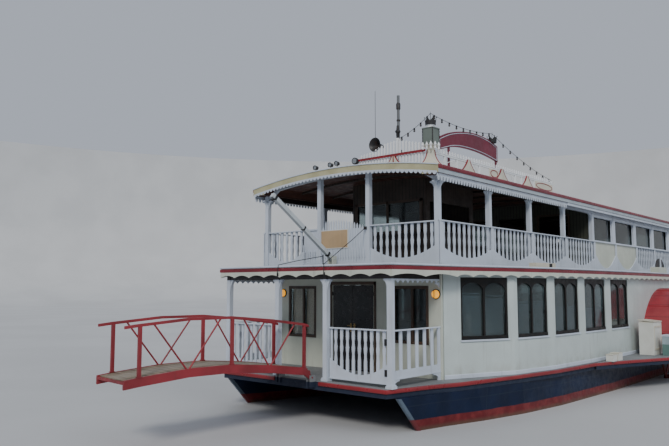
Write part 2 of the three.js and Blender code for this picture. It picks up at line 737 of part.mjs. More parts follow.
function door(faceX, outward) {
  const x0 = Math.min(faceX, faceX - outward * LEAF);
  return joined([
    box(x0, x0 + LEAF, DOOR_GAP / 2, DOOR_HALF - DOOR_GAP, WALL_FOOT + DOOR_GAP, DOOR_HEAD - DOOR_GAP),
    ...hinges(faceX, outward, DOOR_PIN_Y, -1, DOOR_HINGES),
  ]);
}

addPair('front_door', door(FRONT_FACE, 1), DARK);
addPair('stern_door', door(STERN_FACE, -1), DARK);

// Paddle boxes: an arched cover with closed cheeks, open below.
const BOX_CENTRE_Z = 500;
const BOX_RADIUS = 2300;
const BOX_IN = SIDE_HALF + CONTACT;

function archShape(radius, base) {
  const shape = new THREE.Shape();
  const start = Math.asin((base - BOX_CENTRE_Z) / radius);
  shape.absarc(WHEEL_X, BOX_CENTRE_Z, radius, start, Math.PI - start, false);
  shape.closePath();
  return shape;
}

const boxBase = DECK_TOP + CONTACT;
const paddleBox = cut(sideView(archShape(BOX_RADIUS, boxBase), BOX_IN, BOX_OUT), [
  sideView(archShape(BOX_RADIUS - BOX_WALL, boxBase - 400), BOX_IN + BOX_WALL, BOX_OUT - BOX_WALL),
  shaftHole(120, SIDE_HALF - 200, SIDE_HALF + 200),
  shaftHole(SHAFT_RADIUS + 6, BOX_OUT - 100, BOX_OUT + 100),
]);
addPair('paddle_box', paddleBox, PAINT_RED);

// Paddle wheels. Four bars cross in each of two planes and are keyed to the shaft by hubs; eight
// floats stand against the bars and are tied by two rings.
const WHEEL_RADIUS = 1650;
const WHEEL_IN = 3850;
const WHEEL_OUT = 4780;
const FLOATS = 8;
const ARM_PLANES = [WHEEL_IN + 60, WHEEL_OUT - 60];
const ARM_THICK = 30;
const ARM_WIDTH = 70;
const FLOAT_THICK = 40;
const FLOAT_DEPTH = 420;
const RING = 40;
const RING_RADIUS = 1430;

function ring(y0, y1, radius) {
  const inner = radius - RING;
  const profile = [[inner, y0], [radius, y0], [radius, y1], [inner, y1], [inner, y0]];
  return new THREE.LatheGeometry(profile.map(([r, h]) => new THREE.Vector2(r, h)), 24);
}

function wheelFrame() {
  const shaft = new THREE.CylinderGeometry(SHAFT_RADIUS, SHAFT_RADIUS, SHAFT_END - SHAFT_START, 24);
  shaft.translate(0, (SHAFT_START + SHAFT_END) / 2, 0);
  const pieces = [shaft];
  for (const y of ARM_PLANES) {
    const hub = new THREE.CylinderGeometry(190, 190, 90, 16);
    hub.translate(0, y, 0);
    pieces.push(hub);
    for (let i = 0; i < FLOATS / 2; i += 1) {
      const bar = new THREE.BoxGeometry(ARM_WIDTH, ARM_THICK, 2 * (WHEEL_RADIUS - 20));
      bar.translate(0, y, 0);
      bar.rotateY((i * 2 * Math.PI) / FLOATS);
      pieces.push(bar);
    }
  }
  const geometry = joined(pieces);
  geometry.translate(WHEEL_X, 0, AXLE_Z);
  return geometry;
}

function wheelFloats() {
  const [inPlane, outPlane] = ARM_PLANES;
  const clear = ARM_THICK / 2 + CONTACT;
  const pieces = [
    ring(inPlane + clear, inPlane + clear + RING, RING_RADIUS),
    ring(outPlane - clear - RING, outPlane - clear, RING_RADIUS),
  ];
  for (let i = 0; i < FLOATS; i += 1) {
    const board = new THREE.BoxGeometry(FLOAT_THICK, WHEEL_OUT - WHEEL_IN, FLOAT_DEPTH);
    const off = (ARM_WIDTH + FLOAT_THICK) / 2 + CONTACT;
    board.translate(off, (WHEEL_IN + WHEEL_OUT) / 2, WHEEL_RADIUS - FLOAT_DEPTH / 2);
    board.rotateY((i * 2 * Math.PI) / FLOATS);
    pieces.push(board);
  }
  const geometry = joined(pieces);
  geometry.translate(WHEEL_X, 0, AXLE_Z);
  return geometry;
}

addPair('paddle_wheel', wheelFrame(), PAINT_RED);
addPair('paddle_floats', wheelFloats(), PAINT_RED);

// Engine that drives the shaft, between the saloon walls.
add('engine', box(WHEEL_X - 1100, WHEEL_X + 1100, -900, 900, DECK_TOP + CONTACT, 1700), STEEL);

// Rudders behind the transoms. The stock hangs in the deck on a collar.
function rudder() {
  return joined([
    upright(RUDDER_X, RUDDER_Y, STOCK_RADIUS, -500, DECK_TOP + 20),
    upright(RUDDER_X, RUDDER_Y, 2 * STOCK_RADIUS, DECK_TOP + CONTACT, DECK_TOP + 40),
    box(RUDDER_X - 600, RUDDER_X + 160, RUDDER_Y - 22, RUDDER_Y + 22, -650, 250),
  ]);
}

addPair('rudder', rudder(), PAINT_NAVY);

// Stern colonnade under the promenade deck, and the rail round the open stern deck.
const STERN_POST_X = -24500;
const STERN_POST_YS = [-3400, -1100, 1100, 3400];
add('stern_colonnade', colonnade(STERN_POST_X, STERN_POST_YS, DECK_TOP + CONTACT, SLAB_UNDER - CONTACT), PAINT_WHITE);
const STERN_RAIL_X = -26280;
const STERN_RAIL_Y = 3560;
const QUARTER_FORE = -24700;
const RAIL_HEAD = LOWER_RAIL_TOP + 60;

function railPost(x, y) {
  return box(x - POST / 2, x + POST / 2, y - POST / 2, y + POST / 2, DECK_TOP + CONTACT, RAIL_HEAD);
}

const sternQuarter = balustrade(
  [STERN_RAIL_X + 20, STERN_RAIL_Y - 22],
  [QUARTER_FORE, STERN_RAIL_Y - 22],
  DECK_TOP + 2,
  LOWER_RAIL_TOP,
  8,
  200,
  420,
);
add('stern_rail', joined([
  balustrade([STERN_RAIL_X + 22, -STERN_RAIL_Y + 20], [STERN_RAIL_X + 22, -20], DECK_TOP + 2, LOWER_RAIL_TOP, 12, 200, 420),
  balustrade([STERN_RAIL_X + 22, 20], [STERN_RAIL_X + 22, STERN_RAIL_Y - 20], DECK_TOP + 2, LOWER_RAIL_TOP, 12, 200, 420),
  sternQuarter,
  mirrored(sternQuarter),
  railPost(QUARTER_FORE, STERN_RAIL_Y),
  railPost(QUARTER_FORE, -STERN_RAIL_Y),
  railPost(STERN_RAIL_X, -STERN_RAIL_Y),
  railPost(STERN_RAIL_X, 0),
  railPost(STERN_RAIL_X, STERN_RAIL_Y),
]), PAINT_WHITE);

// Gangway hinged to the front of the main deck, made along X from its pin line and then turned.
// Heights of its floor above the water. Columns: distance from the pin line, height.
const GANG_FLOOR = [[20, 1105], [165, 1150], [1000, 1262], [1970, 1350], [2900, 1350], [3870, 1275], [4150, 1245]];
const GANG_RAIL = 930;
const GANG_POSTS = [165, 1970, 3870];
const GANG_PLANK = 45;
const STRINGER_DEPTH = 130;
const EYE_RADIUS = 42;

function gangHeight(x) {
  const i = Math.max(1, GANG_FLOOR.findIndex(([at]) => at >= x));
  const [a, b] = [GANG_FLOOR[i - 1], GANG_FLOOR[i]];
  return a[1] + ((b[1] - a[1]) * (x - a[0])) / (b[0] - a[0]);
}

// A side view strip along the floor line between heights measured from the floor.
function gangStrip(x0, low, high) {
  const stations = [x0, ...GANG_FLOOR.map(([x]) => x).filter((x) => x > x0 + 1)];
  const top = stations.map((x) => [x, gangHeight(x) + high]);
  const under = stations.map((x) => [x, gangHeight(x) + low]);
  return outline([...under, ...top.reverse()]);
}

function gangway() {
  const inner = GANG_HALF - STRINGER;
  const pieces = [sideView(gangStrip(20, -GANG_PLANK, 0), -inner - 10, inner + 10)];
  for (const y of [-GANG_HALF, inner]) {
    pieces.push(sideView(gangStrip(90, -STRINGER_DEPTH, 25), y, y + STRINGER));
    pieces.push(sideView(gangStrip(60, GANG_RAIL - 50, GANG_RAIL), y, y + STRINGER));
    pieces.push(crossBar(0, GANG_AXIS_Z, EYE_RADIUS, y, y + STRINGER));
    const neck = outline([[0, GANG_AXIS_Z - EYE_RADIUS], [140, 1000], [140, 1120], [20, 1105], [0, GANG_AXIS_Z + EYE_RADIUS]]);
    pieces.push(sideView(neck, y, y + STRINGER));
    pieces.push(crossBar(0, GANG_AXIS_Z, PIN_RADIUS, y - LUG_GAP - LUG - 8, y + STRINGER + LUG_GAP + LUG + 8));
    for (const x of GANG_POSTS) {
      pieces.push(box(x - 30, x + 30, y, y + STRINGER, gangHeight(x) - 60, gangHeight(x) + GANG_RAIL - 20));
    }
  }
  return onGangway(joined(pieces));
}

add('gangway', gangway(), PAINT_RED);

// Boom that lifts the gangway, heeled on the front ledge of the promenade deck.
function boom() {
  const [dx, dz] = [BOOM_TIP[0] - BOOM_FOOT[0], BOOM_TIP[2] - BOOM_FOOT[2]];
  const spar = new THREE.BoxGeometry(2 * BOOM_HALF, 2 * BOOM_HALF, Math.hypot(dx, dz));
  spar.translate(0, 0, Math.hypot(dx, dz) / 2 - 30);
  spar.rotateY(Math.atan2(dx, dz));
  spar.translate(...BOOM_FOOT);
  const reach = BOOM_HALF + 8 + CHEEK + 10;
  const pin = crossBar(BOOM_FOOT[0], BOOM_FOOT[2], PIN_RADIUS, BOOM_FOOT[1] - reach, BOOM_FOOT[1] + reach);
  return joined([spar, pin]);
}

add('gangway_boom', boom(), PAINT_WHITE);

// Mast stepped on the ridge of the roof.
const MAST_X = -3800;
const MAST_FOOT = ROOF_EDGE + ROOF_CAMBER + CONTACT;
add('mast', joined([upright(MAST_X, 0, 38, MAST_FOOT, 7900), upright(MAST_X, 0, 110, MAST_FOOT, MAST_FOOT + 25)]), STEEL);

// Ornament along the port front corner of the roof: a fretted crest across the front, a flared
// corner pedestal with a lamp box and a crown, and an open rail with flared brackets along the side.
const overRoof = frontView(outline([
  ...roofTop.map(([y, z]) => [y, z + CONTACT]),
  [-ROOF_HALF, 4000],
  [ROOF_HALF, 4000],
]), ROOF_STERN - 10, ROOF_FRONT + 10);
const CREST_X = -1530;
const CREST_THICK = 40;
const CREST_Y = 2440;
const crestTop = [[540, 5850], [1250, 6080], [1570, 6130], [2270, 5930], [CREST_Y, 5880]];
const SIDE_CREST = [-7800, CREST_X];
const CREST_BAR = [5700, 5760];
const CREST_STANCHIONS = [-2630, -3660, -4300, -5300, -5850, -6600, -7775];
const crestShape = outline([[540, 5450], ...crestTop, [CREST_Y, 5300]].reverse());

function crestPost(x) {
  return box(x - 25, x + 25, CREST_Y - 15, CREST_Y + 25, 5300, CREST_BAR[0] + 20);
}

add('roof_crest', cut(joined([
  frontView(crestShape, CREST_X - CREST_THICK, CREST_X),
  box(CREST_X - 150, CREST_X + 40, CREST_Y - 120, CREST_Y + 80, 5300, 5900),
  box(SIDE_CREST[0], SIDE_CREST[1], CREST_Y - 15, CREST_Y + 25, CREST_BAR[0], CREST_BAR[1]),
  ...CREST_STANCHIONS.map(crestPost),
  box(CREST_X - 205, CREST_X + 50, CREST_Y - 130, CREST_Y + 125, 5880, 6240),
  upright(CREST_X - 90, CREST_Y, 100, 6220, 6480),
]), [overRoof]), PAINT_WHITE);

// Arched name board above the side rail, blank, on two legs.
const SIGN_Y = CREST_Y - 80;
const signShape = outline([
  [-4680, 5930], [-4160, 6000], [-3560, 6040], [-2930, 6030], [-2500, 5975], [-1960, 5830],
  [-1960, 6120], [-2410, 6290], [-2950, 6410], [-3580, 6470], [-4250, 6430], [-4680, 6325],
]);
add('sign_board', cut(joined([
  sideView(signShape, SIGN_Y, SIGN_Y + 40),
  box(-4630, -4570, SIGN_Y, SIGN_Y + 40, 5300, 6000),
  box(-2430, -2370, SIGN_Y, SIGN_Y + 40, 5300, 6100),
]), [overRoof]), PAINT_RED);

export default group;
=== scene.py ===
import math

import bmesh
import bpy
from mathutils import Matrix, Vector


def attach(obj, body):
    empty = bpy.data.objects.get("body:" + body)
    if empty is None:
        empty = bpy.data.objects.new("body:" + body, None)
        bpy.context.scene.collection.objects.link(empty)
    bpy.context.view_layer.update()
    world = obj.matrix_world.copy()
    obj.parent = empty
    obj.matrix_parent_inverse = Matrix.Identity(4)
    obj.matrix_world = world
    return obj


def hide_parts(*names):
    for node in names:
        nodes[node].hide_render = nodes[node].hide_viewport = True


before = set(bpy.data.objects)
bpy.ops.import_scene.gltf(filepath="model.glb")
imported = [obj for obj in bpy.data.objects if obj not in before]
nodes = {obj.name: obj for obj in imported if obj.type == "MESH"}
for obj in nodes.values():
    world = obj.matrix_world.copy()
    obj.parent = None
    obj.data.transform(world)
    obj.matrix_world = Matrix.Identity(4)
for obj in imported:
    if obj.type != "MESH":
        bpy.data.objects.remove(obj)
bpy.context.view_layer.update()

scene = bpy.context.scene


# Camera: the viewpoint of the photograph, off the port bow and a little below the upper deck. Its
# place, angles and lens were solved from the posts, windows and deck edges.
VIEWPOINT, FOCAL_LENGTH, SENSOR_WIDTH = (10.532, 10.305, 2.825), 36.384, 36.0
YAW, PITCH = 3.861, 0.095
lens = bpy.data.cameras.new("photo_camera")
lens.lens, lens.sensor_width, lens.clip_end = FOCAL_LENGTH, SENSOR_WIDTH, 600.0
camera = bpy.data.objects.new("photo_camera", lens)
camera.location = VIEWPOINT
ahead = Vector((math.cos(PITCH) * math.cos(YAW), math.cos(PITCH) * math.sin(YAW), math.sin(PITCH)))
camera.rotation_euler = ahead.to_track_quat("-Z", "Y").to_euler()
scene.collection.objects.link(camera)
scene.camera = camera


# Floor and light: a plain pale floor at the waterline that turns up far away, a soft high sun off the
# port bow with a weaker one abeam, and a wide pale sky.
def round_steps(count):
    """Angles of even steps round a circle."""
    return [2 * math.pi * k / count for k in range(count)]


class Shade:
    """A node material drawn from the object's own coordinates."""

    def __init__(self, name):
        self.material = bpy.data.materials.new(name)
        self.material.use_nodes = True
        self.tree = self.material.node_tree
        self.surface = self.tree.nodes["Principled BSDF"]
        self.place = self.node("ShaderNodeTexCoord").outputs["Object"]
        self.x, self.y, self.z = self.node("ShaderNodeSeparateXYZ", self.place).outputs

    def node(self, kind, *values, **options):
        made = self.tree.nodes.new(kind)
        for key, value in options.items():
            setattr(made, key, value)
        for socket, value in zip(made.inputs, values):
            self.feed(socket, value)
        return made

    def feed(self, socket, value):
        if isinstance(value, bpy.types.NodeSocket):
            self.tree.links.new(value, socket)
        elif isinstance(value, (int, float)):
            socket.default_value = value
        else:
            socket.default_value = tuple(value) + (1.0,) * (len(socket.default_value) - len(value))

    def math(self, operation, a, b=0.0):
        return self.node("ShaderNodeMath", a, b, operation=operation).outputs[0]

    def ramp(self, value, low, high, first=0.0, last=1.0):
        return self.node(
            "ShaderNodeMapRange", value, low, high, first, last, interpolation_type="SMOOTHSTEP").outputs[0]

    def mix(self, share, a, b):
        made = self.node("ShaderNodeMix", data_type="RGBA")
        for index, value in ((0, share), (6, a), (7, b)):
            self.feed(made.inputs[index], value)
        return made.outputs[2]

    def product(self, first, *others):
        for value in others:
            first = self.math("MULTIPLY", first, value)
        return first

    def noise(self, scale, detail=4.0, stretch=(1, 1, 1)):
        place = self.node("ShaderNodeVectorMath", self.place, stretch, operation="MULTIPLY").outputs[0]
        made = self.node("ShaderNodeTexNoise")
        for key, value in (("Vector", place), ("Scale", scale), ("Detail", detail)):
            self.feed(made.inputs[key], value)
        return made.outputs[0]

    def patches(self, grain, low, high, first=0.0, last=1.0):
        """Soft patches of noise. The grain is its scale, detail and stretch."""
        return self.ramp(self.noise(*grain), low, high, first, last)

    def mottle(self, grain, low, high, first, last):
        """Two colours in soft patches."""
        return self.mix(self.patches(grain, low, high), first, last)

    def lines(self, coordinate, pitch, width, offset=0.0):
        """One on lines of a width at a pitch along a coordinate, nought between."""
        turn = self.math("FRACT", self.math("DIVIDE", self.math("ADD", coordinate, offset), pitch))
        off = self.math("ABSOLUTE", self.math("SUBTRACT", turn, 0.5))
        return self.ramp(off, 0.5 - width / pitch, 0.5 - 0.4 * width / pitch)

    def finish(self, colour, rough, height=None, bump=0.2, **more):
        self.feed(self.surface.inputs["Base Color"], colour)
        self.feed(self.surface.inputs["Roughness"], rough)
        if height is not None:
            made = self.node("ShaderNodeBump")
            for key, value in (("Strength", bump), ("Distance", 0.01), ("Height", height)):
                self.feed(made.inputs[key], value)
            self.tree.links.new(made.outputs[0], self.surface.inputs["Normal"])
        for key, value in more.items():
            self.feed(self.surface.inputs[key.replace("_", " ")], value)
        return self.material


shade = Shade("studio_floor")
floor_colour = shade.mottle((0.15, 5), 0.35, 0.65, (0.50, 0.51, 0.52), (0.54, 0.55, 0.56))
floor_paint = shade.finish(floor_colour, 0.85)
floor_mesh = bmesh.new()
FLOOR_PROFILE = [(40, 0.0), (95, 0.0), (104, 1.0), (112, 4.0), (118, 9.0), (121, 16.0), (122, 30.0)]
FLOOR_SIDES, MIDSHIPS = 96, -11
floor_rings = []
for radius, height in FLOOR_PROFILE:
    ring = [
        (radius * math.cos(a) + MIDSHIPS, radius * math.sin(a), height) for a in round_steps(FLOOR_SIDES)]
    floor_rings.append([floor_mesh.verts.new(p) for p in ring])
floor_mesh.faces.new(floor_rings[0])
for a, b in zip(floor_rings, floor_rings[1:]):
    for i in range(FLOOR_SIDES):
        j = (i + 1) % FLOOR_SIDES
        floor_mesh.faces.new((a[i], b[i], b[j], a[j]))
floor_data = bpy.data.meshes.new("studio_floor")
floor_mesh.to_mesh(floor_data)
floor_mesh.free()
floor_data.materials.append(floor_paint)
floor_data.shade_smooth()
floor = bpy.data.objects.new("studio_floor", floor_data)
scene.collection.objects.link(floor)

world = bpy.data.worlds.new("pale_sky")
world.use_nodes = True
sky = world.node_tree.nodes["Background"]
sky.inputs["Color"].default_value, sky.inputs["Strength"].default_value = (0.80, 0.87, 1.0, 1.0), 0.55
scene.world = world
for name, way, strength, spread, colour in (
    ("key_sun", (1.0, 0.60, 0.85), 1.7, 14.0, (1.0, 0.96, 0.90)),
    ("side_sun", (-0.1, 1.0, 0.6), 0.5, 40.0, (0.88, 0.94, 1.0)),
):
    light = bpy.data.lights.new(name, "SUN")
    light.energy, light.angle, light.color = strength, math.radians(spread), colour
    lamp = bpy.data.objects.new(name, light)
    lamp.rotation_euler = Vector(way).to_track_quat("Z", "Y").to_euler()
    scene.collection.objects.link(lamp)


# Hulls: welded steel plate, navy gloss above a dark red boot-top at the waterline, with weld seams
# between the plates and a grey painted stem bar welded on each bow.
def paint(
    name, colour, rough=0.42, spread=0.10, grime=0.30, dirt=(0.17, 0.15, 0.12), bump=0.10, fine=55.0,
    change=None, height=None
):
    """Brushed gloss paint: patches of tone, thin grime that runs down, and a fine uneven skin."""
    shade = Shade(name)
    patches = shade.patches((1.6, 5), 0.35, 0.68)
    tone = shade.mix(
        patches, tuple(c * (1 - spread) for c in colour),
        tuple(min(1.0, c * (1 + spread / 2)) for c in colour))
    runs = shade.patches((3.2, 6, (2.6, 2.6, 0.22)), 0.55, 0.78)
    tone = shade.mix(shade.product(runs, grime), tone, dirt)
    skin = shade.noise(fine, 3)
    level = skin
    if change:
        tone = change(shade, tone)
    if height:
        level = shade.math("ADD", skin, height(shade))
    gloss = shade.patches((8.0, 4), 0.3, 0.7, max(rough - 0.08, 0.05), rough + 0.12)
    return shade.finish(tone, gloss, level, bump)


def coat(material, *names):
    for name in names:
        for slot in nodes[name].material_slots:
            slot.link = "OBJECT"
            slot.material = material


PLATE_LENGTH, PLATE_HEIGHT, BOOT_TOP = 2.4, 0.62, (0.245, 0.235)


def plate_seams(shade, upright_width, level_width):
    return shade.math(
        "MAXIMUM", shade.lines(shade.x, PLATE_LENGTH, upright_width, 0.3),
        shade.lines(shade.z, PLATE_HEIGHT, level_width, 0.1))


def hull_tones(shade, tone):
    seams = plate_seams(shade, 0.012, 0.010)
    tone = shade.mix(shade.product(seams, 0.55), tone, (0.02, 0.03, 0.05))
    edge = shade.math("ADD", shade.z, shade.product(shade.noise(2.0, 4), 0.03))
    below = shade.ramp(edge, *BOOT_TOP)
    scum = shade.ramp(edge, 0.13, 0.03, 0.0, 0.6)
    boot = shade.mottle((6, 6), 0.4, 0.7, (0.13, 0.016, 0.020), (0.20, 0.030, 0.032))
    boot = shade.mix(scum, boot, (0.10, 0.09, 0.06))
    return shade.mix(below, tone, boot)


def hull_skin(shade):
    plates = shade.patches((1.1, 2), 0.2, 0.8, 0.0, 3.0)
    return shade.math("ADD", plates, shade.product(plate_seams(shade, 0.016, 0.014), 1.2))


def stem_tones(shade, tone):
    return shade.mix(shade.ramp(shade.z, *BOOT_TOP), tone, (0.15, 0.02, 0.024))


navy = paint(
    "hull_navy", (0.005, 0.013, 0.042), 0.36, 0.25, 0.14, (0.03, 0.04, 0.05), 0.14, 40, hull_tones,
    hull_skin)
coat(navy, "hull_port", "hull_stbd", "rudder_port", "rudder_stbd")

CORNERS = ((-1, -1), (1, -1), (1, 1), (-1, 1))


class Solid:
    """Closed bodies gathered into one mesh. Lengths are metres in the frame of the part."""

    def __init__(self):
        self.mesh = bmesh.new()

    def loft(self, rings, loop=False):
        made = [[self.mesh.verts.new(p) for p in ring] for ring in rings]
        count = len(made[0])
        for a, b in list(zip(made, made[1:])) + ([(made[-1], made[0])] if loop else []):
            for i in range(count):
                j = (i + 1) % count
                self.mesh.faces.new((a[i], a[j], b[j], b[i]))
        if not loop:
            self.mesh.faces.new(made[0][::-1])
            self.mesh.faces.new(made[-1])
        return self

    def prism(self, plan, heights):
        return self.loft([[(x, y, h) for x, y in plan] for h in heights])

    def box(self, x, y, z):
        return self.prism(oblong(x[0], x[1], y[0], y[1]), z)

    def tower(self, at, levels):
        """A square body round an upright axis. The columns of levels are half its width and the height."""
        return self.loft(
            [[(at[0] + i * half, at[1] + j * half, z) for i, j in CORNERS] for half, z in levels])

    def board(self, shape, place, thickness, start=0.0):
        """A flat board. Its outline is in length and height, and place() puts it in the frame."""
        return self.loft([[place(s, t, d) for s, t in shape] for d in (start, start + thickness)])

    def tube(self, points, radius, sides=8):
        points = [Vector(p) for p in points]
        rings = []
        side = None
        for i, p in enumerate(points):
            way = (points[min(i + 1, len(points) - 1)] - points[max(i - 1, 0)]).normalized()
            if side is None:
                side = way.orthogonal().normalized()
            side = (side - way * side.dot(way)).normalized()
            other = way.cross(side)
            rings.append(
                [p + (side * math.cos(a) + other * math.sin(a)) * radius for a in round_steps(sides)])
        return self.loft(rings)

    def lathe(self, profile, at, sides=24, axis="z"):
        """A turned body. The profile's columns are radius and distance along the axis from at."""
        order = {"x": (2, 0, 1), "y": (1, 2, 0), "z": (0, 1, 2)}[axis]
        rings = []
        for radius, along in profile:
            ring = [(radius * math.cos(a), radius * math.sin(a), along) for a in round_steps(sides)]
            rings.append([Vector(at) + Vector([p[i] for i in order]) for p in ring])
        return self.loft(rings)

    def sweep(self, path, section):
        """A moulding along a plan line. The section's columns are the offset to the left and the height."""
        path = [Vector(p) for p in path]
        rings = []
        for i, p in enumerate(path):
            ways = [(b - a).normalized() for a, b in zip(path, path[1:])]
            before, after = ways[max(i - 1, 0)], ways[min(i, len(ways) - 1)]
            left = Vector((-(before.y + after.y), before.x + after.x))
            left = left / (0.5 * left.length_squared)
            rings.append([(p.x + left.x * d, p.y + left.y * d, h) for d, h in section])
        return self.loft(rings)

    def mirror(self):
        """Adds the same bodies on the other side of the centreline."""
        made = bmesh.ops.duplicate(
            self.mesh, geom=self.mesh.verts[:] + self.mesh.edges[:] + self.mesh.faces[:])
        for item in made["geom"]:
            if isinstance(item, bmesh.types.BMVert):
                item.co.y = -item.co.y
        return self

    def flip(self):
        """Moves the bodies to the other side of the centreline."""
        for vertex in self.mesh.verts:
            vertex.co.y = -vertex.co.y
        return self

    def rows(self, unit, table):
        """Sets copies of a unit along straight lines. Columns: start, end, count, turn."""
        data = bpy.data.meshes.new("unit")
        bmesh.ops.recalc_face_normals(unit.mesh, faces=unit.mesh.faces)
        unit.mesh.to_mesh(data)
        unit.mesh.free()
        source = bpy.data.objects.new("unit", data)
        scene.collection.objects.link(source)
        holders = []
        for start, end, count, turn in table:
            holder = bpy.data.objects.new("row", bpy.data.meshes.new("row"))
            scene.collection.objects.link(holder)
            modifier = holder.modifiers.new("row", "NODES")
            modifier.node_group = ROW
            for key, value in (
                ("Unit", source), ("Start", start), ("End", end), ("Count", count), ("Turn", turn),
                ("Paint", ROW_PAINT)
            ):
                modifier[ROW_INPUTS[key]] = value
            holders.append(holder)
        graph = bpy.context.evaluated_depsgraph_get()
        for holder in holders:
            made = bpy.data.meshes.new_from_object(holder.evaluated_get(graph))
            self.mesh.from_mesh(made)
            bpy.data.meshes.remove(made)
            bpy.data.objects.remove(holder)
        bpy.data.objects.remove(source)
        return self

    def build(self, name, material, body="boat", slot="white_paint", smooth=0, instead_of=()):
        bmesh.ops.recalc_face_normals(self.mesh, faces=self.mesh.faces)
        data = bpy.data.meshes.new(name)
        self.mesh.to_mesh(data)
        self.mesh.free()
        data.materials.append(material)
        if smooth:
            data.shade_smooth()
            data.set_sharp_from_angle(angle=math.radians(smooth))
        made = bpy.data.objects.new(name, data)
        scene.collection.objects.link(made)
        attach(made, body)
        if instead_of:
            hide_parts(*instead_of)
        return made


STEM_RAKE, STEM_TOP, STEM_X, STEM_Y = 0.96, 0.70, -0.2, 2.5
STEM_FRONT, STEM_BACK = (0.025, 0.028), (0.06, 0.050)
stem_paint = paint("stem_grey", (0.10, 0.14, 0.19), 0.5, 0.2, 0.4, change=stem_tones)
stem_rings = []
for z in (STEM_TOP - 0.005, 0.35, 0.0, -0.35, -0.74):
    x = STEM_X - STEM_RAKE * (STEM_TOP - z)
    front, back = x + STEM_FRONT[0], x - STEM_BACK[0]
    stem_rings.append([
        (front, STEM_Y - STEM_FRONT[1], z), (front, STEM_Y + STEM_FRONT[1], z),
        (back, STEM_Y + STEM_BACK[1], z), (back, STEM_Y - STEM_BACK[1], z)])
Solid().loft(stem_rings).mirror().build("stem_bars", stem_paint, slot="hull_paint")


# Main deck and guards: grey non-slip deck paint on steel, its edge painted like the hull, and a red
# half-round timber rubbing strake all round. The strake is left out at the gangway hinge.
RED = (0.27, 0.018, 0.024)


def deck_tones(shade, tone):
    scuffs = shade.patches((14, 8), 0.55, 0.75, 0.0, 0.45)
    tone = shade.mix(scuffs, tone, (0.16, 0.16, 0.15))
    edge = shade.ramp(shade.z, 0.874, 0.870)
    tone = shade.mix(edge, tone, (0.012, 0.02, 0.045))
    guard_edge = shade.ramp(shade.math("ABSOLUTE", shade.y), 5.012, 5.014)
    fender = shade.ramp(shade.x, -26.402, -26.404)
    lip = shade.product(shade.math("MAXIMUM", guard_edge, fender), edge)
    return shade.mix(lip, tone, RED)


def locker_tones(shade, tone):
    tone = deck_tones(shade, tone)
    white = shade.mottle((3, 4), 0.4, 0.7, (0.66, 0.67, 0.62), (0.73, 0.74, 0.70))
    return shade.mix(shade.ramp(shade.z, 0.884, 0.888), tone, white)


for name, tones, coated in (
    ("deck_grey", deck_tones, ("main_deck",)),
    ("guard_grey", locker_tones, ("guard_port", "guard_stbd")),
):
    coat(paint(name, (0.23, 0.24, 0.25), 0.72, 0.15, 0.2, bump=0.5, fine=160, change=tones), *coated)
red_paint = paint("red_gloss", RED, 0.34, 0.18, 0.22, (0.10, 0.03, 0.03), 0.12, 35)
STRAKE_SECTION = [
    (-0.004, 0.790), (-0.030, 0.797), (-0.040, 0.815), (-0.040, 0.850), (-0.030, 0.868), (-0.004, 0.875)]
WHEEL_X = -13.47
fore_edge = [
    (0.0, 0.66), (0.0, 2.39), (-1.1, 2.64), (-1.9, 2.9), (-3.75, 3.27), (-5.3, 3.52), (-7.28, 3.665),
    (-8.7, 4.15), (-10.2, 4.75), (-10.99, 5.006)]
aft_edge = [(2 * WHEEL_X - x, y) for x, y in fore_edge[6:]][::-1] + [(-26.396, 3.69)]
strake = Solid()
for run in (fore_edge, aft_edge):
    strake.sweep(run, STRAKE_SECTION)
strake.mirror().build("rubbing_strake", red_paint, slot="red_paint", smooth=40)


# Saloon walls: painted ply sheets screwed to a light timber frame, a plain pier between the windows,
# and a chamfered skirting board nailed on where they meet the deck.
WHITE = (0.58, 0.64, 0.73)
CREAM = (0.57, 0.60, 0.52)
cream_paint = paint("wall_cream", CREAM, 0.45, 0.07, 0.22, bump=0.10, fine=28)


def wall_tones(shade, tone):
    foot = shade.ramp(shade.z, 1.25, 0.90, 0.0, 0.35)
    splash = shade.product(foot, shade.patches((4, 6), 0.35, 0.65))
    tone = shade.mix(splash, tone, (0.30, 0.28, 0.22))
    seams = shade.product(shade.lines(shade.x, 1.22, 0.010, 0.55), 0.18)
    return shade.mix(seams, tone, (0.30, 0.31, 0.30))


# The side walls take a cool blue-green copy of the cream wall paint of the ends: painted sky light on the
# sides.
sky_tinted_wall_paint = paint(
    "wall_sky_tinted", (0.53, 0.60, 0.59), 0.42, 0.06, 0.22, bump=0.10, fine=28, change=wall_tones)
coat(sky_tinted_wall_paint, "lower_wall_port", "lower_wall_stbd")
coat(cream_paint, "front_wall", "stern_wall")


def white_gloss(name, change=None):
    return paint(name, WHITE, 0.38, 0.07, 0.24, bump=0.10, fine=45, change=change)


white_paint = white_gloss("white_gloss")
PLAN = [(-1.95, 2.47), (-3.75, 3.20), (-5.30, 3.45), (-7.30, 3.57), (-9.50, 3.62), (-23.0, 3.62)]
SKIRTING_SECTION = [(-0.001, 0.884), (-0.022, 0.884), (-0.022, 0.96), (-0.014, 0.972), (-0.001, 0.972)]
skirting = Solid()
for run in (PLAN[:5] + [(-11.15, 3.62)], [(-15.78, 3.62), PLAN[5]]):
    skirting.sweep(run, SKIRTING_SECTION)
skirting.mirror().build("wall_skirting", white_paint)


# Side windows: a dark stained timber frame set back in each opening, two arched lights with a middle
# post, tinted glass behind, and grey slatted blinds drawn over the lower part.
def plan_at(x):
    for (xa, ya), (xb, yb) in zip(PLAN, PLAN[1:]):
        if xb <= x <= xa:
            return (x, ya + (yb - ya) * (xa - x) / (xa - xb))


def upright(a, b):
    """Board lengths run from a to b in plan, heights are up, and depth is to the left of that way."""
    a, b = Vector((a[0], a[1], 0)), Vector((b[0], b[1], 0))
    way = (b - a).normalized()
    left = Vector((-way.y, way.x, 0))
    return lambda s, t, d: a + way * s + left * d + Vector((0, 0, t))


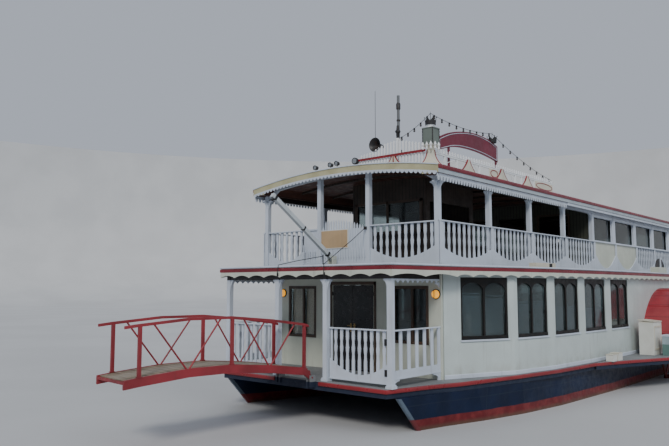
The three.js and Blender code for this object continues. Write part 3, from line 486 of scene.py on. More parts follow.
def oblong(s0, s1, t0, t1):
    """Outline of a plain board, from s0 to s1 along it and from t0 to t1 up it."""
    return [(s0, t0), (s1, t0), (s1, t1), (s0, t1)]


ARCH_RISE, ARCH_STEPS = 0.6, 12


def sash(solid, place, length, low, high, back, thick=0.03, stile=0.055, mullion=0.05, foot=0.075):
    """Stiles, foot rail, middle post and a head pierced by two low arches."""
    light = (length - 2 * stile - mullion) / 2
    radius = light / 2
    spring = high - 0.115 - ARCH_RISE * radius
    for s0, s1 in ((0.0, stile), (stile + light, stile + light + mullion), (length - stile, length)):
        solid.board(oblong(s0, s1, low + foot - 0.002, spring), place, thick, back)
    solid.board(oblong(0, length, low, low + foot), place, thick + 0.012, back - 0.012)
    head = [(0.0, high), (0.0, spring - 0.002)]
    for k in range(2):
        centre = stile + radius + k * (light + mullion)
        head.append((centre - radius, spring - 0.002))
        for step in range(ARCH_STEPS + 1):
            a = math.pi * (1 - step / ARCH_STEPS)
            head.append((centre + radius * math.cos(a), spring + ARCH_RISE * radius * math.sin(a)))
        head.append((centre + radius, spring - 0.002))
    head += [(length, spring - 0.002), (length, high)]
    solid.board(head[::-1], place, thick, back)


SILL, LINTEL = 1.69, 3.045
SIDE_WINDOWS = [
    (-2.37, -3.59), (-3.88, -5.07), (-5.39, -6.67), (-7.04, -8.39), (-8.80, -10.18), (-16.35, -17.65),
    (-18.0, -19.3), (-19.65, -20.95), (-21.3, -22.6)]
BLINDS = [
    (0.56, 0.52), (0.41, 0.41), (0.30, 0.30), (0.25, 0.25), (0.0, 0.0), (0.5, 0.5), (0.45, 0.45),
    (0.5, 0.4), (0.45, 0.45)]


def timber_tones(shade, tone):
    grain = shade.patches((5, 8, (1, 1, 12)), 0.4, 0.7)
    return shade.mix(shade.product(grain, 0.4), tone, (0.045, 0.030, 0.022))


dark_timber = paint(
    "dark_timber", (0.012, 0.013, 0.014), 0.40, 0.3, 0.12, (0.06, 0.055, 0.05), 0.2, 90, timber_tones)
for material in (navy, dark_timber):
    material.node_tree.nodes["Principled BSDF"].inputs["Specular IOR Level"].default_value = 0.22
sashes, blinds, sills = Solid(), Solid(), Solid()
SLAT_PITCH = 0.034
for (x0, x1), drop in zip(SIDE_WINDOWS, BLINDS):
    a, b = plan_at(x0), plan_at(x1)
    length = math.dist(a, b)
    place = upright(a, b)
    sash(sashes, place, length, SILL, LINTEL, 0.022)
    sills.board(oblong(-0.02, length + 0.02, SILL - 0.035, SILL), place, 0.05, -0.03)
    for k, share in enumerate(drop):
        if not share:
            continue
        s0 = 0.07 + k * (length / 2 - 0.02)
        s1 = s0 + length / 2 - 0.11
        top = SILL + 0.06 + (LINTEL - SILL) * (share + 0.12)
        for j in range(int((top - SILL - 0.08) / SLAT_PITCH)):
            t = SILL + 0.08 + j * SLAT_PITCH
            profile = [(0.092, t), (0.095, t), (0.112, t + 0.030), (0.109, t + 0.030)]
            blinds.loft([[place(s, h, d) for d, h in profile] for s in (s0, s1)])
        blinds.board(oblong(s0, s1, top, top + 0.035), place, 0.03, 0.088)
sashes.mirror().build("side_window_frames", dark_timber, slot="dark_paint")
sills.mirror().build("side_window_sills", white_paint)
blind_paint = paint("blind_grey", (0.32, 0.40, 0.48), 0.5, 0.2, 0.2)
blinds.mirror().build("side_window_blinds", blind_paint)


def glass(name, tint):
    """Tinted glass with a patchy film of dust."""
    shade = Shade(name)
    dust = shade.patches((2.5, 6, (1, 1, 0.4)), 0.45, 0.8)
    tone = shade.mix(shade.product(dust, 0.10), tint, (0.25, 0.26, 0.26))
    clear = shade.math("SUBTRACT", 0.93, shade.product(dust, 0.12))
    gloss = shade.patches((6.0, 3), 0.3, 0.7, 0.03, 0.09)
    return shade.finish(tone, gloss, shade.noise(0.9, 1), 0.03, Transmission_Weight=clear, IOR=1.45)


window_glass = glass("tinted_glass", (0.34, 0.42, 0.43))
coat(
    window_glass, "lower_glass_fore_port", "lower_glass_fore_stbd", "lower_glass_aft_port",
    "lower_glass_aft_stbd", "front_glass_port", "stern_glass_port", "stern_glass_stbd")
coat(glass("smoked_glass", (0.11, 0.14, 0.14)), "upper_glass_port", "upper_glass_stbd")
coat(glass("clear_glass", (0.80, 0.82, 0.80)), "front_glass_stbd")
FIRST_FOLD, FOLD_PITCH, FOLDS = (-8.88, -8.94), 0.09, 14
curtain = Solid()
for k in range(FOLDS):
    a, b = (plan_at(x - FOLD_PITCH * k) for x in FIRST_FOLD)
    curtain.board(oblong(0, 0.085, SILL + 0.03, LINTEL - 0.04), upright(a, b), 0.02, 0.10 + 0.015 * (k % 2))
curtain_cloth = paint("curtain_red", (0.10, 0.018, 0.020), 0.8, 0.3, 0.1, bump=0.3, fine=200)
curtain.mirror().build("side_window_curtain", curtain_cloth)


# Front and stern of the saloon: wide windows in brown timber frames, glazed dark double doors with
# panels and brass handles, and a round bulkhead lamp screwed to the wall on each side of the front.
brown_timber = paint(
    "brown_timber", (0.075, 0.045, 0.028), 0.40, 0.3, 0.25, (0.03, 0.02, 0.015), 0.2, 90, timber_tones)
END_WALLS = (("front", -1.888, 1), ("stern", -23.062, -1))
END_WINDOWS = [(1.18, 2.13), (-2.13, -1.18)]


def off_face(face, outward, inner, outer):
    """A span along the boat, given by its two distances out from the face of a wall."""
    return sorted((face + outward * inner, face + outward * outer))


frames = Solid()
for _, face, outward in END_WALLS:
    for y0, y1 in END_WINDOWS:
        place = lambda s, t, d: Vector((face - outward * d, y0 + s, t))
        low, high, wide = 1.59, 2.86, y1 - y0
        for s0, s1, t0, t1 in (
            (0, 0.06, low, high), (wide - 0.06, wide, low, high), (0.06, wide - 0.06, low, low + 0.06),
            (0.06, wide - 0.06, high - 0.07, high),
            (wide * 0.52, wide * 0.52 + 0.05, low + 0.06, high - 0.07)
        ):
            frames.board(oblong(s0, s1, t0, t1), place, 0.05, -0.012)
    for jamb in ((-0.70, -0.645), (0.645, 0.70)):
        frames.box(off_face(face, outward, -0.012, 0.02), jamb, (0.885, 2.95))
    frames.box(off_face(face, outward, 0.001, 0.02), (-0.70, 0.70), (2.885, 2.96))
frames.build("end_window_frames", brown_timber, slot="dark_paint")
DRAPE_FRONT, DRAPE_BACK, PLEAT, PLEAT_WIDTH = -1.985, -1.993, 0.012, 0.042
drapes = Solid()
for y0, y1 in ((-2.06, -1.72), (-1.58, -1.24)):
    for k in range(int((y1 - y0) / PLEAT_WIDTH)):
        y = y0 + PLEAT_WIDTH * k
        this, other = PLEAT * (k % 2), PLEAT * (1 - k % 2)
        drapes.prism([
            (DRAPE_FRONT - this, y), (DRAPE_FRONT - other, y + PLEAT_WIDTH),
            (DRAPE_BACK - other, y + PLEAT_WIDTH), (DRAPE_BACK - this, y)], (1.66, 2.80))
drape_cloth = paint("drape_cream", (0.86, 0.80, 0.60), 0.8, 0.12, 0.1, bump=0.3, fine=200)
drapes.build("front_window_drapes", drape_cloth, slot="cream_paint")


def door_tones(shade, tone):
    rise = shade.ramp(shade.z, 1.72, 1.73)
    y = shade.math("ABSOLUTE", shade.y)
    across = shade.product(shade.ramp(y, 0.12, 0.125), shade.ramp(y, 0.50, 0.495))
    pane = shade.product(rise, shade.ramp(shade.z, 2.72, 2.71), across)
    return shade.mix(pane, tone, (0.008, 0.010, 0.012))


door_paint = paint(
    "door_dark", (0.016, 0.015, 0.016), 0.30, 0.3, 0.15, (0.09, 0.08, 0.07), 0.12, 60, door_tones)
coat(door_paint, "front_door_port", "front_door_stbd", "stern_door_port", "stern_door_stbd")
brass = paint("aged_brass", (0.45, 0.31, 0.12), 0.3, 0.2, 0.4, (0.10, 0.07, 0.03), 0.15, 80)
SIDES = (("port", 1), ("stbd", -1))
HANDLE_Z = 1.93
for side, way in SIDES:
    for end, face, outward in END_WALLS:
        handle = Solid()
        x = face + outward * 0.002
        handle.box(off_face(x, outward, 0, 0.006), sorted((way * 0.03, way * 0.075)), (1.78, 1.98))
        out = x + outward * 0.045
        near, far = way * 0.052, way * 0.13
        handle.tube([(x, near, HANDLE_Z), (out, near, HANDLE_Z), (out, far, HANDLE_Z)], 0.009, 10)
        handle.build(f"{end}_door_handle_{side}", brass, f"{end}_door_{side}", "engine_steel", 40)

lamp_glass = Shade("lamp_amber")
glow = lamp_glass.patches((20, 3), 0.3, 0.7)
lamp_amber = lamp_glass.finish(
    lamp_glass.mix(glow, (0.80, 0.34, 0.02), (0.95, 0.50, 0.06)), 0.25, lamp_glass.noise(60, 2), 0.1,
    Emission_Color=(1.0, 0.42, 0.04), Emission_Strength=0.9)
LAMP_DOME = [(0.010, 0.085), (0.055, 0.082), (0.082, 0.060), (0.090, 0.030), (0.090, 0.012)]
LAMP_RIM = [(0.108, 0.001), (0.108, 0.020), (0.096, 0.026), (0.092, 0.014), (0.090, 0.010)]
LAMP_Y, LAMP_Z = 2.33, 2.68
lamps, lamp_bodies = Solid(), Solid()
for y in (LAMP_Y, -LAMP_Y):
    lamps.lathe(LAMP_DOME, (-1.885, y, LAMP_Z), 20, "x")
    lamp_bodies.lathe(LAMP_RIM, (-1.887, y, LAMP_Z), 20, "x")
    lamp_bodies.box((-1.80, -1.792), (y - 0.006, y + 0.006), (2.595, 2.765))
lamps.build("bulkhead_lamps", lamp_amber, smooth=50)
lamp_bodies.build("bulkhead_lamp_rims", dark_timber, slot="dark_paint", smooth=40)


# Promenade deck: one painted slab. Its edge carries a pale ledge, a dark red strip and a cream valance
# board that is sawn in shallow arches and nailed on in lengths.
def promenade_tones(shade, tone):
    above = shade.product(shade.ramp(shade.z, 3.2965, 3.299), shade.ramp(shade.z, 3.312, 3.306))
    seams = shade.lines(shade.y, 0.145, 0.008)
    walk = shade.mottle((9, 7), 0.35, 0.7, (0.17, 0.18, 0.18), (0.25, 0.26, 0.25))
    walk = shade.mix(seams, walk, (0.05, 0.05, 0.05))
    tone = shade.mix(above, tone, walk)
    # The slab's underside boards are painted dark grey: painted shade on the ceiling under the deck.
    under = shade.ramp(shade.z, 3.124, 3.121)
    painted_shade_lining = shade.mottle((5, 5), 0.3, 0.7, (0.16, 0.16, 0.15), (0.22, 0.22, 0.20))
    painted_shade_lining = shade.mix(shade.lines(shade.x, 0.22, 0.012), painted_shade_lining, (0.05, 0.05, 0.045))
    return shade.mix(under, tone, painted_shade_lining)


promenade_paint = paint(
    "promenade_paint", CREAM, 0.5, 0.08, 0.25, bump=0.15, fine=40, change=promenade_tones)
coat(promenade_paint, "promenade_deck")
DARK_RED = (0.20, 0.014, 0.026)
dark_red_paint = paint("dark_red_gloss", DARK_RED, 0.34, 0.2, 0.2, (0.08, 0.03, 0.03), 0.12, 35)
SLAB_EDGE = [
    (0.02, 0.0), (0.02, 2.54), (-1.9, 2.83), (-3.75, 3.31), (-5.3, 3.56), (-7.3, 3.68), (-9.5, 3.73),
    (-25.0, 3.73), (-25.0, 0.0)]
ARCHES = [5, 2, 4, 3, 4, 5, 33, 8]
LEDGE = [(-0.001, 3.262), (-0.028, 3.266), (-0.038, 3.282), (-0.030, 3.300), (-0.001, 3.304)]
RED_STRIP = [(-0.001, 3.176), (-0.020, 3.176), (-0.024, 3.190), (-0.024, 3.248), (-0.001, 3.256)]
Solid().sweep(SLAB_EDGE, LEDGE).mirror().build("promenade_ledge", white_paint, smooth=40)
Solid().sweep(SLAB_EDGE, RED_STRIP).mirror().build(
    "promenade_red_strip", dark_red_paint, slot="red_paint", smooth=40)


def arched_edge(length, count, cusp, rise):
    """Lower edge of a valance: cusps at one height with a shallow arch between each two."""
    pitch = length / count
    edge = [(pitch * (k + j / 8), cusp + rise * j * (8 - j) / 16) for k in range(count) for j in range(8)]
    return edge + [(length, cusp)]


valance = Solid()
for a, b, count in zip(SLAB_EDGE, SLAB_EDGE[1:], ARCHES):
    length = math.dist(a, b)
    edge = arched_edge(length, count, 3.045, 0.055)
    valance.board(edge + [(length, 3.180), (0.0, 3.180)], upright(a, b), 0.018, -0.019)
valance.mirror().build("promenade_valance", cream_paint, slot="cream_paint")


# Posts of the fore and stern decks: square painted timber on low plinths, with sawn capitals under the
# beam. On the fore deck a sawn strip of small arches is nailed up from the corner post to the wall.
def flare(half, reach, foot, head, lip=0.035, steps=7):
    """One arm of a capital, from the face of the post out to its full reach under the beam."""
    edge = [(half, head), (half, foot)]
    for k in range(1, steps + 1):
        a = math.pi / 2 * k / steps
        edge.append((half + (reach - half) * (1 - math.cos(a)), foot + (head - lip - foot) * math.sin(a)))
    return edge + [(reach, head)]


def facing(at, angle):
    """Board lengths run from a point in plan at an angle, and depth is to the left."""
    way = Vector((math.cos(angle), math.sin(angle), 0))
    left = Vector((-way.y, way.x, 0))
    return lambda s, t, d: Vector((at[0], at[1], 0)) + way * s + left * d + Vector((0, 0, t))


ALONG, INBOARD, AFT, OUTBOARD = 0.0, -math.pi / 2, math.pi, math.pi / 2


# Above z 3.0 the lower colonnades, the beam over the posts, are painted near black: painted shade under the
# deck edge.
def beam_shade_tones(shade, tone):
    return shade.mix(shade.ramp(shade.z, 2.996, 3.0), tone, (0.030, 0.026, 0.026))


coat(white_gloss("colonnade_paint", beam_shade_tones), "fore_colonnade", "stern_colonnade")
FORE_POSTS_X, STERN_POSTS_X = -0.15, -24.5
LOWER_POSTS = (
    ((FORE_POSTS_X, 2.4), (INBOARD,)),
    ((FORE_POSTS_X, 0.72), (INBOARD, OUTBOARD)),
    ((STERN_POSTS_X, 3.4), (INBOARD, OUTBOARD)),
    ((STERN_POSTS_X, 1.1), (INBOARD, OUTBOARD)),
)
capitals, plinths = Solid(), Solid()
for at, ways in LOWER_POSTS:
    for angle in ways:
        capitals.board(flare(0.054, 0.150, 2.70, 2.999), facing(at, angle), 0.066, -0.033)
    for half, low, high in ((0.083, 0.8815, 0.93), (0.070, 0.93, 0.955)):
        plinths.tower(at, [(half, low), (half, high)])
capitals.mirror().build("lower_post_capitals", white_paint)
plinths.mirror().build("lower_post_plinths", white_paint)
lace = Solid()
LACE_A, LACE_B = (-0.206, 2.415), (-1.945, 2.415)
lace_length = math.dist(LACE_A, LACE_B)
edge = arched_edge(lace_length, 10, 2.918, 0.052)
lace.board(edge + [(lace_length, 3.0), (0.0, 3.0)], upright(LACE_A, LACE_B), 0.018)
lace.board(flare(0.0, 0.20, 2.66, 2.93), facing(LACE_B, ALONG), 0.022, -0.026)
lace.mirror().build("fore_side_lace", white_paint)
# Above the arched strip, a board in dark timber paint stands for the shade under the deck edge: painted
# shade.
shade_band = Solid()
shade_band.board(oblong(0.0, lace_length, 3.001, 3.118), upright(LACE_A, LACE_B), 0.045)
shade_band.mirror().build("fore_side_band", dark_timber, slot="dark_paint")


# Balustrades of the fore deck: flat sawn balusters nailed behind a foot board whose top dips between
# the posts, under a thin rounded handrail. The port front bay is the gate.
VASE = [
    (0.0, 0.035), (0.06, 0.033), (0.13, 0.036), (0.19, 0.034), (0.25, 0.0235), (0.31, 0.028), (0.37, 0.038),
    (0.43, 0.034), (0.50, 0.0235), (0.56, 0.028), (0.64, 0.036)]


def lengthwise(y):
    """Board lengths run forward, and depth is to port of y."""
    return lambda s, t, d: Vector((s, y + d, t))


def crosswise(x):
    """Board lengths run to port, and depth is forward of x."""
    return lambda s, t, d: Vector((x + d, s, t))


def baluster(drop, wide=1.0):
    """One flat sawn baluster, hung from the origin in the plane of X and Z."""
    half = [(d, h * wide) for d, h in VASE if d < drop] + [(drop, 0.036 * wide)]
    edge = [(h, -d) for d, h in half] + [(-h, -d) for d, h in half[::-1]]
    return Solid().board(edge, lengthwise(0.0), 0.022, -0.011)


HANDRAIL = [
    (-0.012, -0.030), (-0.016, -0.018), (-0.010, -0.004), (0.0, 0.0),
    (0.046, 0.0), (0.056, -0.004), (0.062, -0.018), (0.058, -0.030),
]


def bay(boards, a, b, foot, top, low, high, pilasters=()):
    """Handrail and foot board from a to b in plan, their outer face on that line."""
    place, length = upright(a, b), math.dist(a, b)
    dip = [(length * j / 16, foot + low + (high - low) * (j / 8 - 1) ** 2) for j in range(17)]
    boards.board([(0.0, foot), (length, foot)] + dip[::-1], place, 0.026, 0.004)
    boards.board(oblong(0.0, length, foot, foot + 0.026), place, 0.012, -0.007)
    boards.loft([[place(s, top + h, d) for d, h in HANDRAIL] for s in (0.0, length)])
    for s in pilasters:
        boards.board(oblong(s - 0.06, s + 0.06, foot + 0.03, top - 0.028), place, 0.020, 0.001)


def row_tree():
    """Copies of one unit at even steps from a start to an end."""
    tree = bpy.data.node_groups.new("row_of_units", "GeometryNodeTree")
    tree.interface.new_socket("Geometry", in_out="INPUT", socket_type="NodeSocketGeometry")
    named = {}
    for label, kind in (
        ("Unit", "Object"), ("Start", "Vector"), ("End", "Vector"),
        ("Count", "Int"), ("Turn", "Vector"), ("Paint", "Material"),
    ):
        named[label] = tree.interface.new_socket(
            label, in_out="INPUT", socket_type="NodeSocket" + kind).identifier
    tree.interface.new_socket("Geometry", in_out="OUTPUT", socket_type="NodeSocketGeometry")
    given = tree.nodes.new("NodeGroupInput")
    line = tree.nodes.new("GeometryNodeMeshLine")
    line.mode, line.count_mode = "END_POINTS", "TOTAL"
    unit = tree.nodes.new("GeometryNodeObjectInfo")
    unit.inputs["As Instance"].default_value = True
    copies = tree.nodes.new("GeometryNodeInstanceOnPoints")
    real = tree.nodes.new("GeometryNodeRealizeInstances")
    paint = tree.nodes.new("GeometryNodeSetMaterial")
    result = tree.nodes.new("NodeGroupOutput")
    for a, b in (
        (given.outputs["Count"], line.inputs["Count"]),
        (given.outputs["Start"], line.inputs["Start Location"]),
        (given.outputs["End"], line.inputs["Offset"]),
        (given.outputs["Unit"], unit.inputs["Object"]),
        (line.outputs["Mesh"], copies.inputs["Points"]),
        (unit.outputs["Geometry"], copies.inputs["Instance"]),
        (given.outputs["Turn"], copies.inputs["Rotation"]),
        (copies.outputs["Instances"], real.inputs["Geometry"]),
        (real.outputs["Geometry"], paint.inputs["Geometry"]),
        (given.outputs["Paint"], paint.inputs["Material"]),
        (paint.outputs["Geometry"], result.inputs["Geometry"]),
    ):
        tree.links.new(a, b)
    return tree, named


ROW, ROW_INPUTS = row_tree()
ROW_PAINT = bpy.data.materials.new("row_paint")


def bay_row(a, b, count, top, margin=0.0):
    """Columns of a row of balusters in a bay: start, end, count, turn."""
    place, length = upright(a, b), math.dist(a, b)
    step = (length - 2 * margin) / count
    first, last = (place(s, top - 0.031, 0.042) for s in (margin + step / 2, length - margin - step / 2))
    return first, last, count, (0.0, 0.0, math.atan2(b[1] - a[1], b[0] - a[0]))


RAIL_FOOT, RAIL_TOP = 0.945, 2.0
fore_rail = Solid()
STBD_A, STBD_B = (-0.1275, -2.338), (-0.1275, -0.782)
bay(fore_rail, STBD_A, STBD_B, RAIL_FOOT, RAIL_TOP, 0.13, 0.42)
fore_rail.rows(baluster(1.0), [bay_row(STBD_A, STBD_B, 10, RAIL_TOP, 0.02)])
for foot in ((-2.33, -2.27), (-0.85, -0.79)):
    fore_rail.box((-0.165, -0.130), foot, (0.882, 0.95))
fore_rail.build("fore_rail_stbd_boards", white_paint, instead_of=("fore_rail_stbd",))
gate = Solid()
GATE_A, GATE_B = (-0.160, 0.803), (-0.160, 2.338)
bay(gate, GATE_A, GATE_B, RAIL_FOOT, RAIL_TOP, 0.13, 0.42)
gate.rows(baluster(1.0), [bay_row(GATE_A, GATE_B, 9, RAIL_TOP, 0.06)])
for s0, s1 in ((0.0, 0.05), (1.485, 1.535)):
    gate.board(oblong(s0, s1, RAIL_FOOT, RAIL_TOP - 0.028), upright(GATE_A, GATE_B), 0.020, 0.028)
gate.build("fore_gate_boards", white_paint, "fore_gate", instead_of=("fore_gate",))
iron = paint("black_iron", (0.020, 0.020, 0.022), 0.5, 0.3, 0.5, (0.09, 0.04, 0.02), 0.3, 90)
gate_iron = Solid()
for z in (1.0, 1.83):
    gate_iron.lathe([(0.0095, 0.0), (0.0095, 0.09)], (-0.2153, 2.346, z), 16)
    gate_iron.box((-0.2135, -0.2065), (2.276, 2.345), (z + 0.01, z + 0.08))
for z in (1.10, 1.69):
    gate_iron.box((-0.156, -0.150), (2.235, 2.330), (z, z + 0.13))
    for screw in (z + 0.03, z + 0.10):
        gate_iron.lathe([(0.011, 0.0), (0.011, 0.008), (0.005, 0.013)], (-0.150, 2.26, screw), 12, "x")
gate_iron.build("fore_gate_hinges", iron, "fore_gate", "dark_paint", 40)
for side, way in SIDES:
    side_rail = Solid()
    a, b = (-0.212, 2.424), (-1.88, 2.424)
    place, length = upright(a, b), math.dist(a, b)
    side_rail.loft([[place(s, RAIL_TOP + h, d) for d, h in HANDRAIL] for s in (0.0, length)])
    side_rail.board(oblong(0.0, length, 1.04, 1.21), place, 0.026, 0.004)
    side_rail.board(oblong(0.0, length, 1.04, 1.062), place, 0.010, -0.006)
    for k in range(5):
        s = 0.28 + 0.28 * k
        side_rail.board(oblong(s - 0.046, s + 0.046, 1.06, 1.971), place, 0.022, 0.031)
    side_rail.board(flare(0.0, 0.19, 0.90, 1.045), facing(a, AFT), 0.024, 0.005)
    side_rail.board(flare(0.0, 0.20, 0.90, 1.045), facing((-1.80, 2.424), ALONG), 0.024, -0.029)
    side_rail.box((-1.878, -1.80), (2.385, 2.421), (0.882, 1.971))
    if way < 0:
        side_rail.flip()
    side_rail.build(f"fore_side_rail_{side}_boards", white_paint, instead_of=(f"fore_side_rail_{side}",))


# Promenade deck colonnade: square painted timber posts with small sawn capitals under the side beam. A
# sawn board nailed under the eaves is toothed along the open bays and plain behind them.
SIDE_POSTS = [-1.57, -3.77, -5.92, -8.07, -10.22, -12.1, -14.2, -16.25, -18.3, -20.4, -22.5, -24.6]


# Over the open bays the side beam under the roof is painted near black: painted shade under the eaves.
def upper_beam_shade_tones(shade, tone):
    beam = shade.product(
        shade.ramp(shade.z, 5.076, 5.079), shade.ramp(shade.x, -7.96, -7.90),
        shade.ramp(shade.x, -1.60, -1.66))
    return shade.mix(beam, tone, (0.022, 0.020, 0.020))


coat(white_gloss("upper_post_paint", upper_beam_shade_tones), "upper_posts_port", "upper_posts_stbd")
POST_LINE, BEAM_UNDER = 2.6, 5.0795
upper_capitals = Solid()
CORNER_ARMS, SALOON_ARMS = (ALONG, AFT, INBOARD, OUTBOARD), {4: (ALONG,), 5: (), 6: (), 7: (), 8: (AFT,)}
for i, x in enumerate(SIDE_POSTS):
    for angle in CORNER_ARMS if i in (0, 11) else SALOON_ARMS.get(i, (ALONG, AFT)):
        upper_capitals.board(
            flare(0.054, 0.165, 4.83, BEAM_UNDER), facing((x, POST_LINE), angle), 0.064, -0.032)
upper_capitals.mirror().build("upper_post_capitals", white_paint)


def toothed_edge(length, count, root, drop):
    """Lower edge of a trim strip cut in small blunt teeth."""
    pitch = length / count
    edge = []
    for k in range(count):
        s = pitch * k
        steps = ((0.0, 0.0), (0.12, 0.0), (0.34, drop), (0.66, drop), (0.88, 0.0))
        edge += [(s + share * pitch, root - down) for share, down in steps]
    return edge + [(length, root)]


teeth = Solid()
EAVES_Y, EAVES_HEAD, TOOTH_ROOT, TOOTH_DROP, OPEN_START, OPEN_END = 2.795, 5.1985, 5.125, 0.08, -1.27, -7.95
place = upright((OPEN_START, EAVES_Y), (OPEN_END, EAVES_Y))
length = OPEN_START - OPEN_END
edge = toothed_edge(length, round(length / 0.115), TOOTH_ROOT, TOOTH_DROP)
teeth.board(edge + [(length, EAVES_HEAD), (0.0, EAVES_HEAD)], place, 0.018)
teeth.box((-24.93, OPEN_END - 0.001), (EAVES_Y, EAVES_Y + 0.018), (TOOTH_ROOT, EAVES_HEAD))
teeth.mirror().build("eaves_teeth_boards", white_paint)


# Promenade deck balustrades, built like those below: continuous handrail and foot boards outside the
# posts, a pilaster at each post, and plain cream panels outside the closed saloon.
DECK_UP, UPPER_TOP, SIDE_FACE = 3.301, 4.244, 2.700
HALF_POST = 0.055
upper_table = []
upper_rail, panels = Solid(), Solid()
for i, (xa, xb) in enumerate(zip(SIDE_POSTS, SIDE_POSTS[1:])):
    fore, aft = (HALF_POST if i == 0 else 0.0), (HALF_POST if i == 10 else 0.0)
    a, b = (xa + fore, SIDE_FACE), (xb - aft, SIDE_FACE)
    length = math.dist(a, b)
    closed = i in (4, 5)
    dips = (0.12, 0.60) if closed else (0.17, 0.42)
    bay(upper_rail, a, b, DECK_UP, UPPER_TOP, *dips, [fore] + ([length - aft] if aft else []))
    if closed:
        panels.board(oblong(0.061, length - 0.061, DECK_UP, UPPER_TOP - 0.029), upright(a, b), 0.012, 0.031)
    else:
        upper_table.append(bay_row(a, b, 10, UPPER_TOP, 0.07))
upper_rail.rows(baluster(0.86, 1.15), upper_table)
stbd_rail = Solid()
stbd_rail.mesh = upper_rail.mesh.copy()
upper_rail.build("upper_rail_port_boards", white_paint, instead_of=("upper_rail_port",))
stbd_rail.flip().build("upper_rail_stbd_boards", white_paint, instead_of=("upper_rail_stbd",))
panels.mirror().build("lounge_side_panels", cream_paint, slot="cream_paint")


# Closed upper saloon: white painted window frames screwed between the posts, with a rounded bead round
# each pane, over a plain dark dado of upright boards behind the balusters.
STILE, FRAME_LOW, PANE_LOW, PANE_HIGH, FRAME_HIGH = 0.085, 4.215, 4.275, 5.0, 5.079
lounge_frames, dado = Solid(), Solid()
for i in (4, 5, 6, 7):
    xa, xb = SIDE_POSTS[i] - 0.056, SIDE_POSTS[i + 1] + 0.056
    length = xa - xb
    place = upright((xa, 2.640), (xb, 2.640))
    for s0, s1, t0, t1 in (
        (0.0, STILE, FRAME_LOW, FRAME_HIGH), (length - STILE, length, FRAME_LOW, FRAME_HIGH),
        (STILE, length - STILE, PANE_HIGH, FRAME_HIGH), (STILE, length - STILE, FRAME_LOW, PANE_LOW),
    ):
        lounge_frames.board(oblong(s0, s1, t0, t1), place, 0.060)
    inner = oblong(STILE, length - STILE, PANE_LOW, PANE_HIGH)
    for k in range(4):
        (s0, t0), (s1, t1) = inner[k], inner[(k + 1) % 4]
        lounge_frames.tube([place(s0, t0, 0.052), place(s1, t1, 0.052)], 0.012, 6)
lounge_frames.mirror().build("lounge_window_frames", white_paint)
for run in ((-14.25, -10.17), (-18.35, -14.26)):
    dado.box(run, (2.505, 2.530), (DECK_UP, 4.20))


def dado_tones(shade, tone):
    return shade.mix(shade.lines(shade.x, 0.12, 0.010), tone, (0.02, 0.03, 0.04))


dado_paint = paint("dado_blue_grey", (0.10, 0.14, 0.17), 0.5, 0.15, 0.3, change=dado_tones)
dado.mirror().build("lounge_dado", dado_paint, slot="dark_paint")


# Front and stern screens of the promenade deck: two posts and an arched header under the roof, with
# balustrades between. The middle of the front is a boarded panel with pointed pickets and a blank board.
def roof_height(y, edge=5.37):
    return edge + 0.25 * (1 - (y / 2.83) ** 2)


def end_screen(name, x, outer, rails, node):
    screen = Solid()
    under = [(y, roof_height(y, 5.31) - 0.011) for y in [2.43 - 2.43 * k / 10 for k in range(21)]]
    under[0], under[-1] = (2.53, 5.199), (-2.53, 5.199)
    header = under + [(y, z - 0.09) for y, z in under[::-1]]
    screen.board(header, crosswise(x), 0.08, -0.04)
    for y in (-0.75, 0.75):
        post_head = roof_height(y, 5.31) - 0.05
        for half, low, high in (
            (HALF_POST, DECK_UP, post_head), (0.068, DECK_UP, 3.36), (0.066, 5.30, 5.33)
        ):
            screen.tower((x, y), [(half, low), (half, high)])
    table = []
    for y0, y1, count in rails:
        a, b = ((outer, y0), (outer, y1)) if outer > x else ((outer, y1), (outer, y0))
        bay(screen, a, b, DECK_UP, UPPER_TOP, 0.17, 0.42)
        table.append(bay_row(a, b, count, UPPER_TOP, 0.02))
    screen.rows(baluster(0.86), table)
    screen.build(name, white_paint, instead_of=(node,))


FRONT_FACE, STERN_FACE = -1.548, -24.622
end_screen("upper_front_screen", -1.57, FRONT_FACE, [(-2.54, -1.30, 7), (0.81, 2.54, 10)], "upper_front")
end_screen(
    "upper_stern_screen", -24.6, STERN_FACE, [(-2.54, -0.81, 10), (-0.69, 0.69, 8), (0.81, 2.54, 10)],
    "upper_stern")
picket_panel = Solid()
face = upright((FRONT_FACE, -1.30), (FRONT_FACE, 0.69))
for s0, s1, top in ((0.0, 0.49, 4.23), (0.61, 1.99, 4.20)):
    picket_panel.board(oblong(s0, s1, DECK_UP, top), face, 0.016, 0.026)
    picket_panel.board(oblong(s0, s1, DECK_UP, 3.50), face, 0.016, 0.008)
picket_panel.board(oblong(0.0, 0.49, 4.21, 4.25), face, 0.05, 0.0)
PICKET_PITCH, HALF_PICKET = 0.081, 0.022


def picket(s, foot, shoulder, top):
    """Outline of a pointed picket whose middle is at s."""
    left, right = s - HALF_PICKET, s + HALF_PICKET
    return [(left, foot), (right, foot), (right, shoulder), (s, top), (left, shoulder)]


for k in range(17):
    s = 0.655 + PICKET_PITCH * k
    top = 4.43 - 0.20 * ((s - 1.0) / 0.95) ** 2 - (0.12 if k == 0 else 0.0)
    picket_panel.board(picket(s, 3.52, top - 0.06, top), face, 0.015, 0.010)
for k in range(24):
    s = 0.05 + PICKET_PITCH * k
    if not 0.47 < s < 0.63:
        picket_panel.board(picket(s, 3.40, 3.69, 3.74), face, 0.014, -0.008)
picket_panel.board(oblong(0.0, 1.99, 3.36, 3.42), face, 0.012, -0.010)
picket_panel.build("front_picket_panel", white_paint)
blank = Solid()
blank.board(oblong(0.58, 1.45, 3.745, 4.19), face, 0.012, -0.006)


def board_tones(shade, tone):
    level = shade.math("MAXIMUM", shade.ramp(shade.z, 4.172, 4.176), shade.ramp(shade.z, 3.763, 3.759))
    upright_edge = shade.math(
        "MAXIMUM", shade.ramp(shade.y, 0.128, 0.132), shade.ramp(shade.y, -0.698, -0.702))
    return shade.mix(shade.math("MAXIMUM", level, upright_edge), tone, (0.70, 0.70, 0.66))


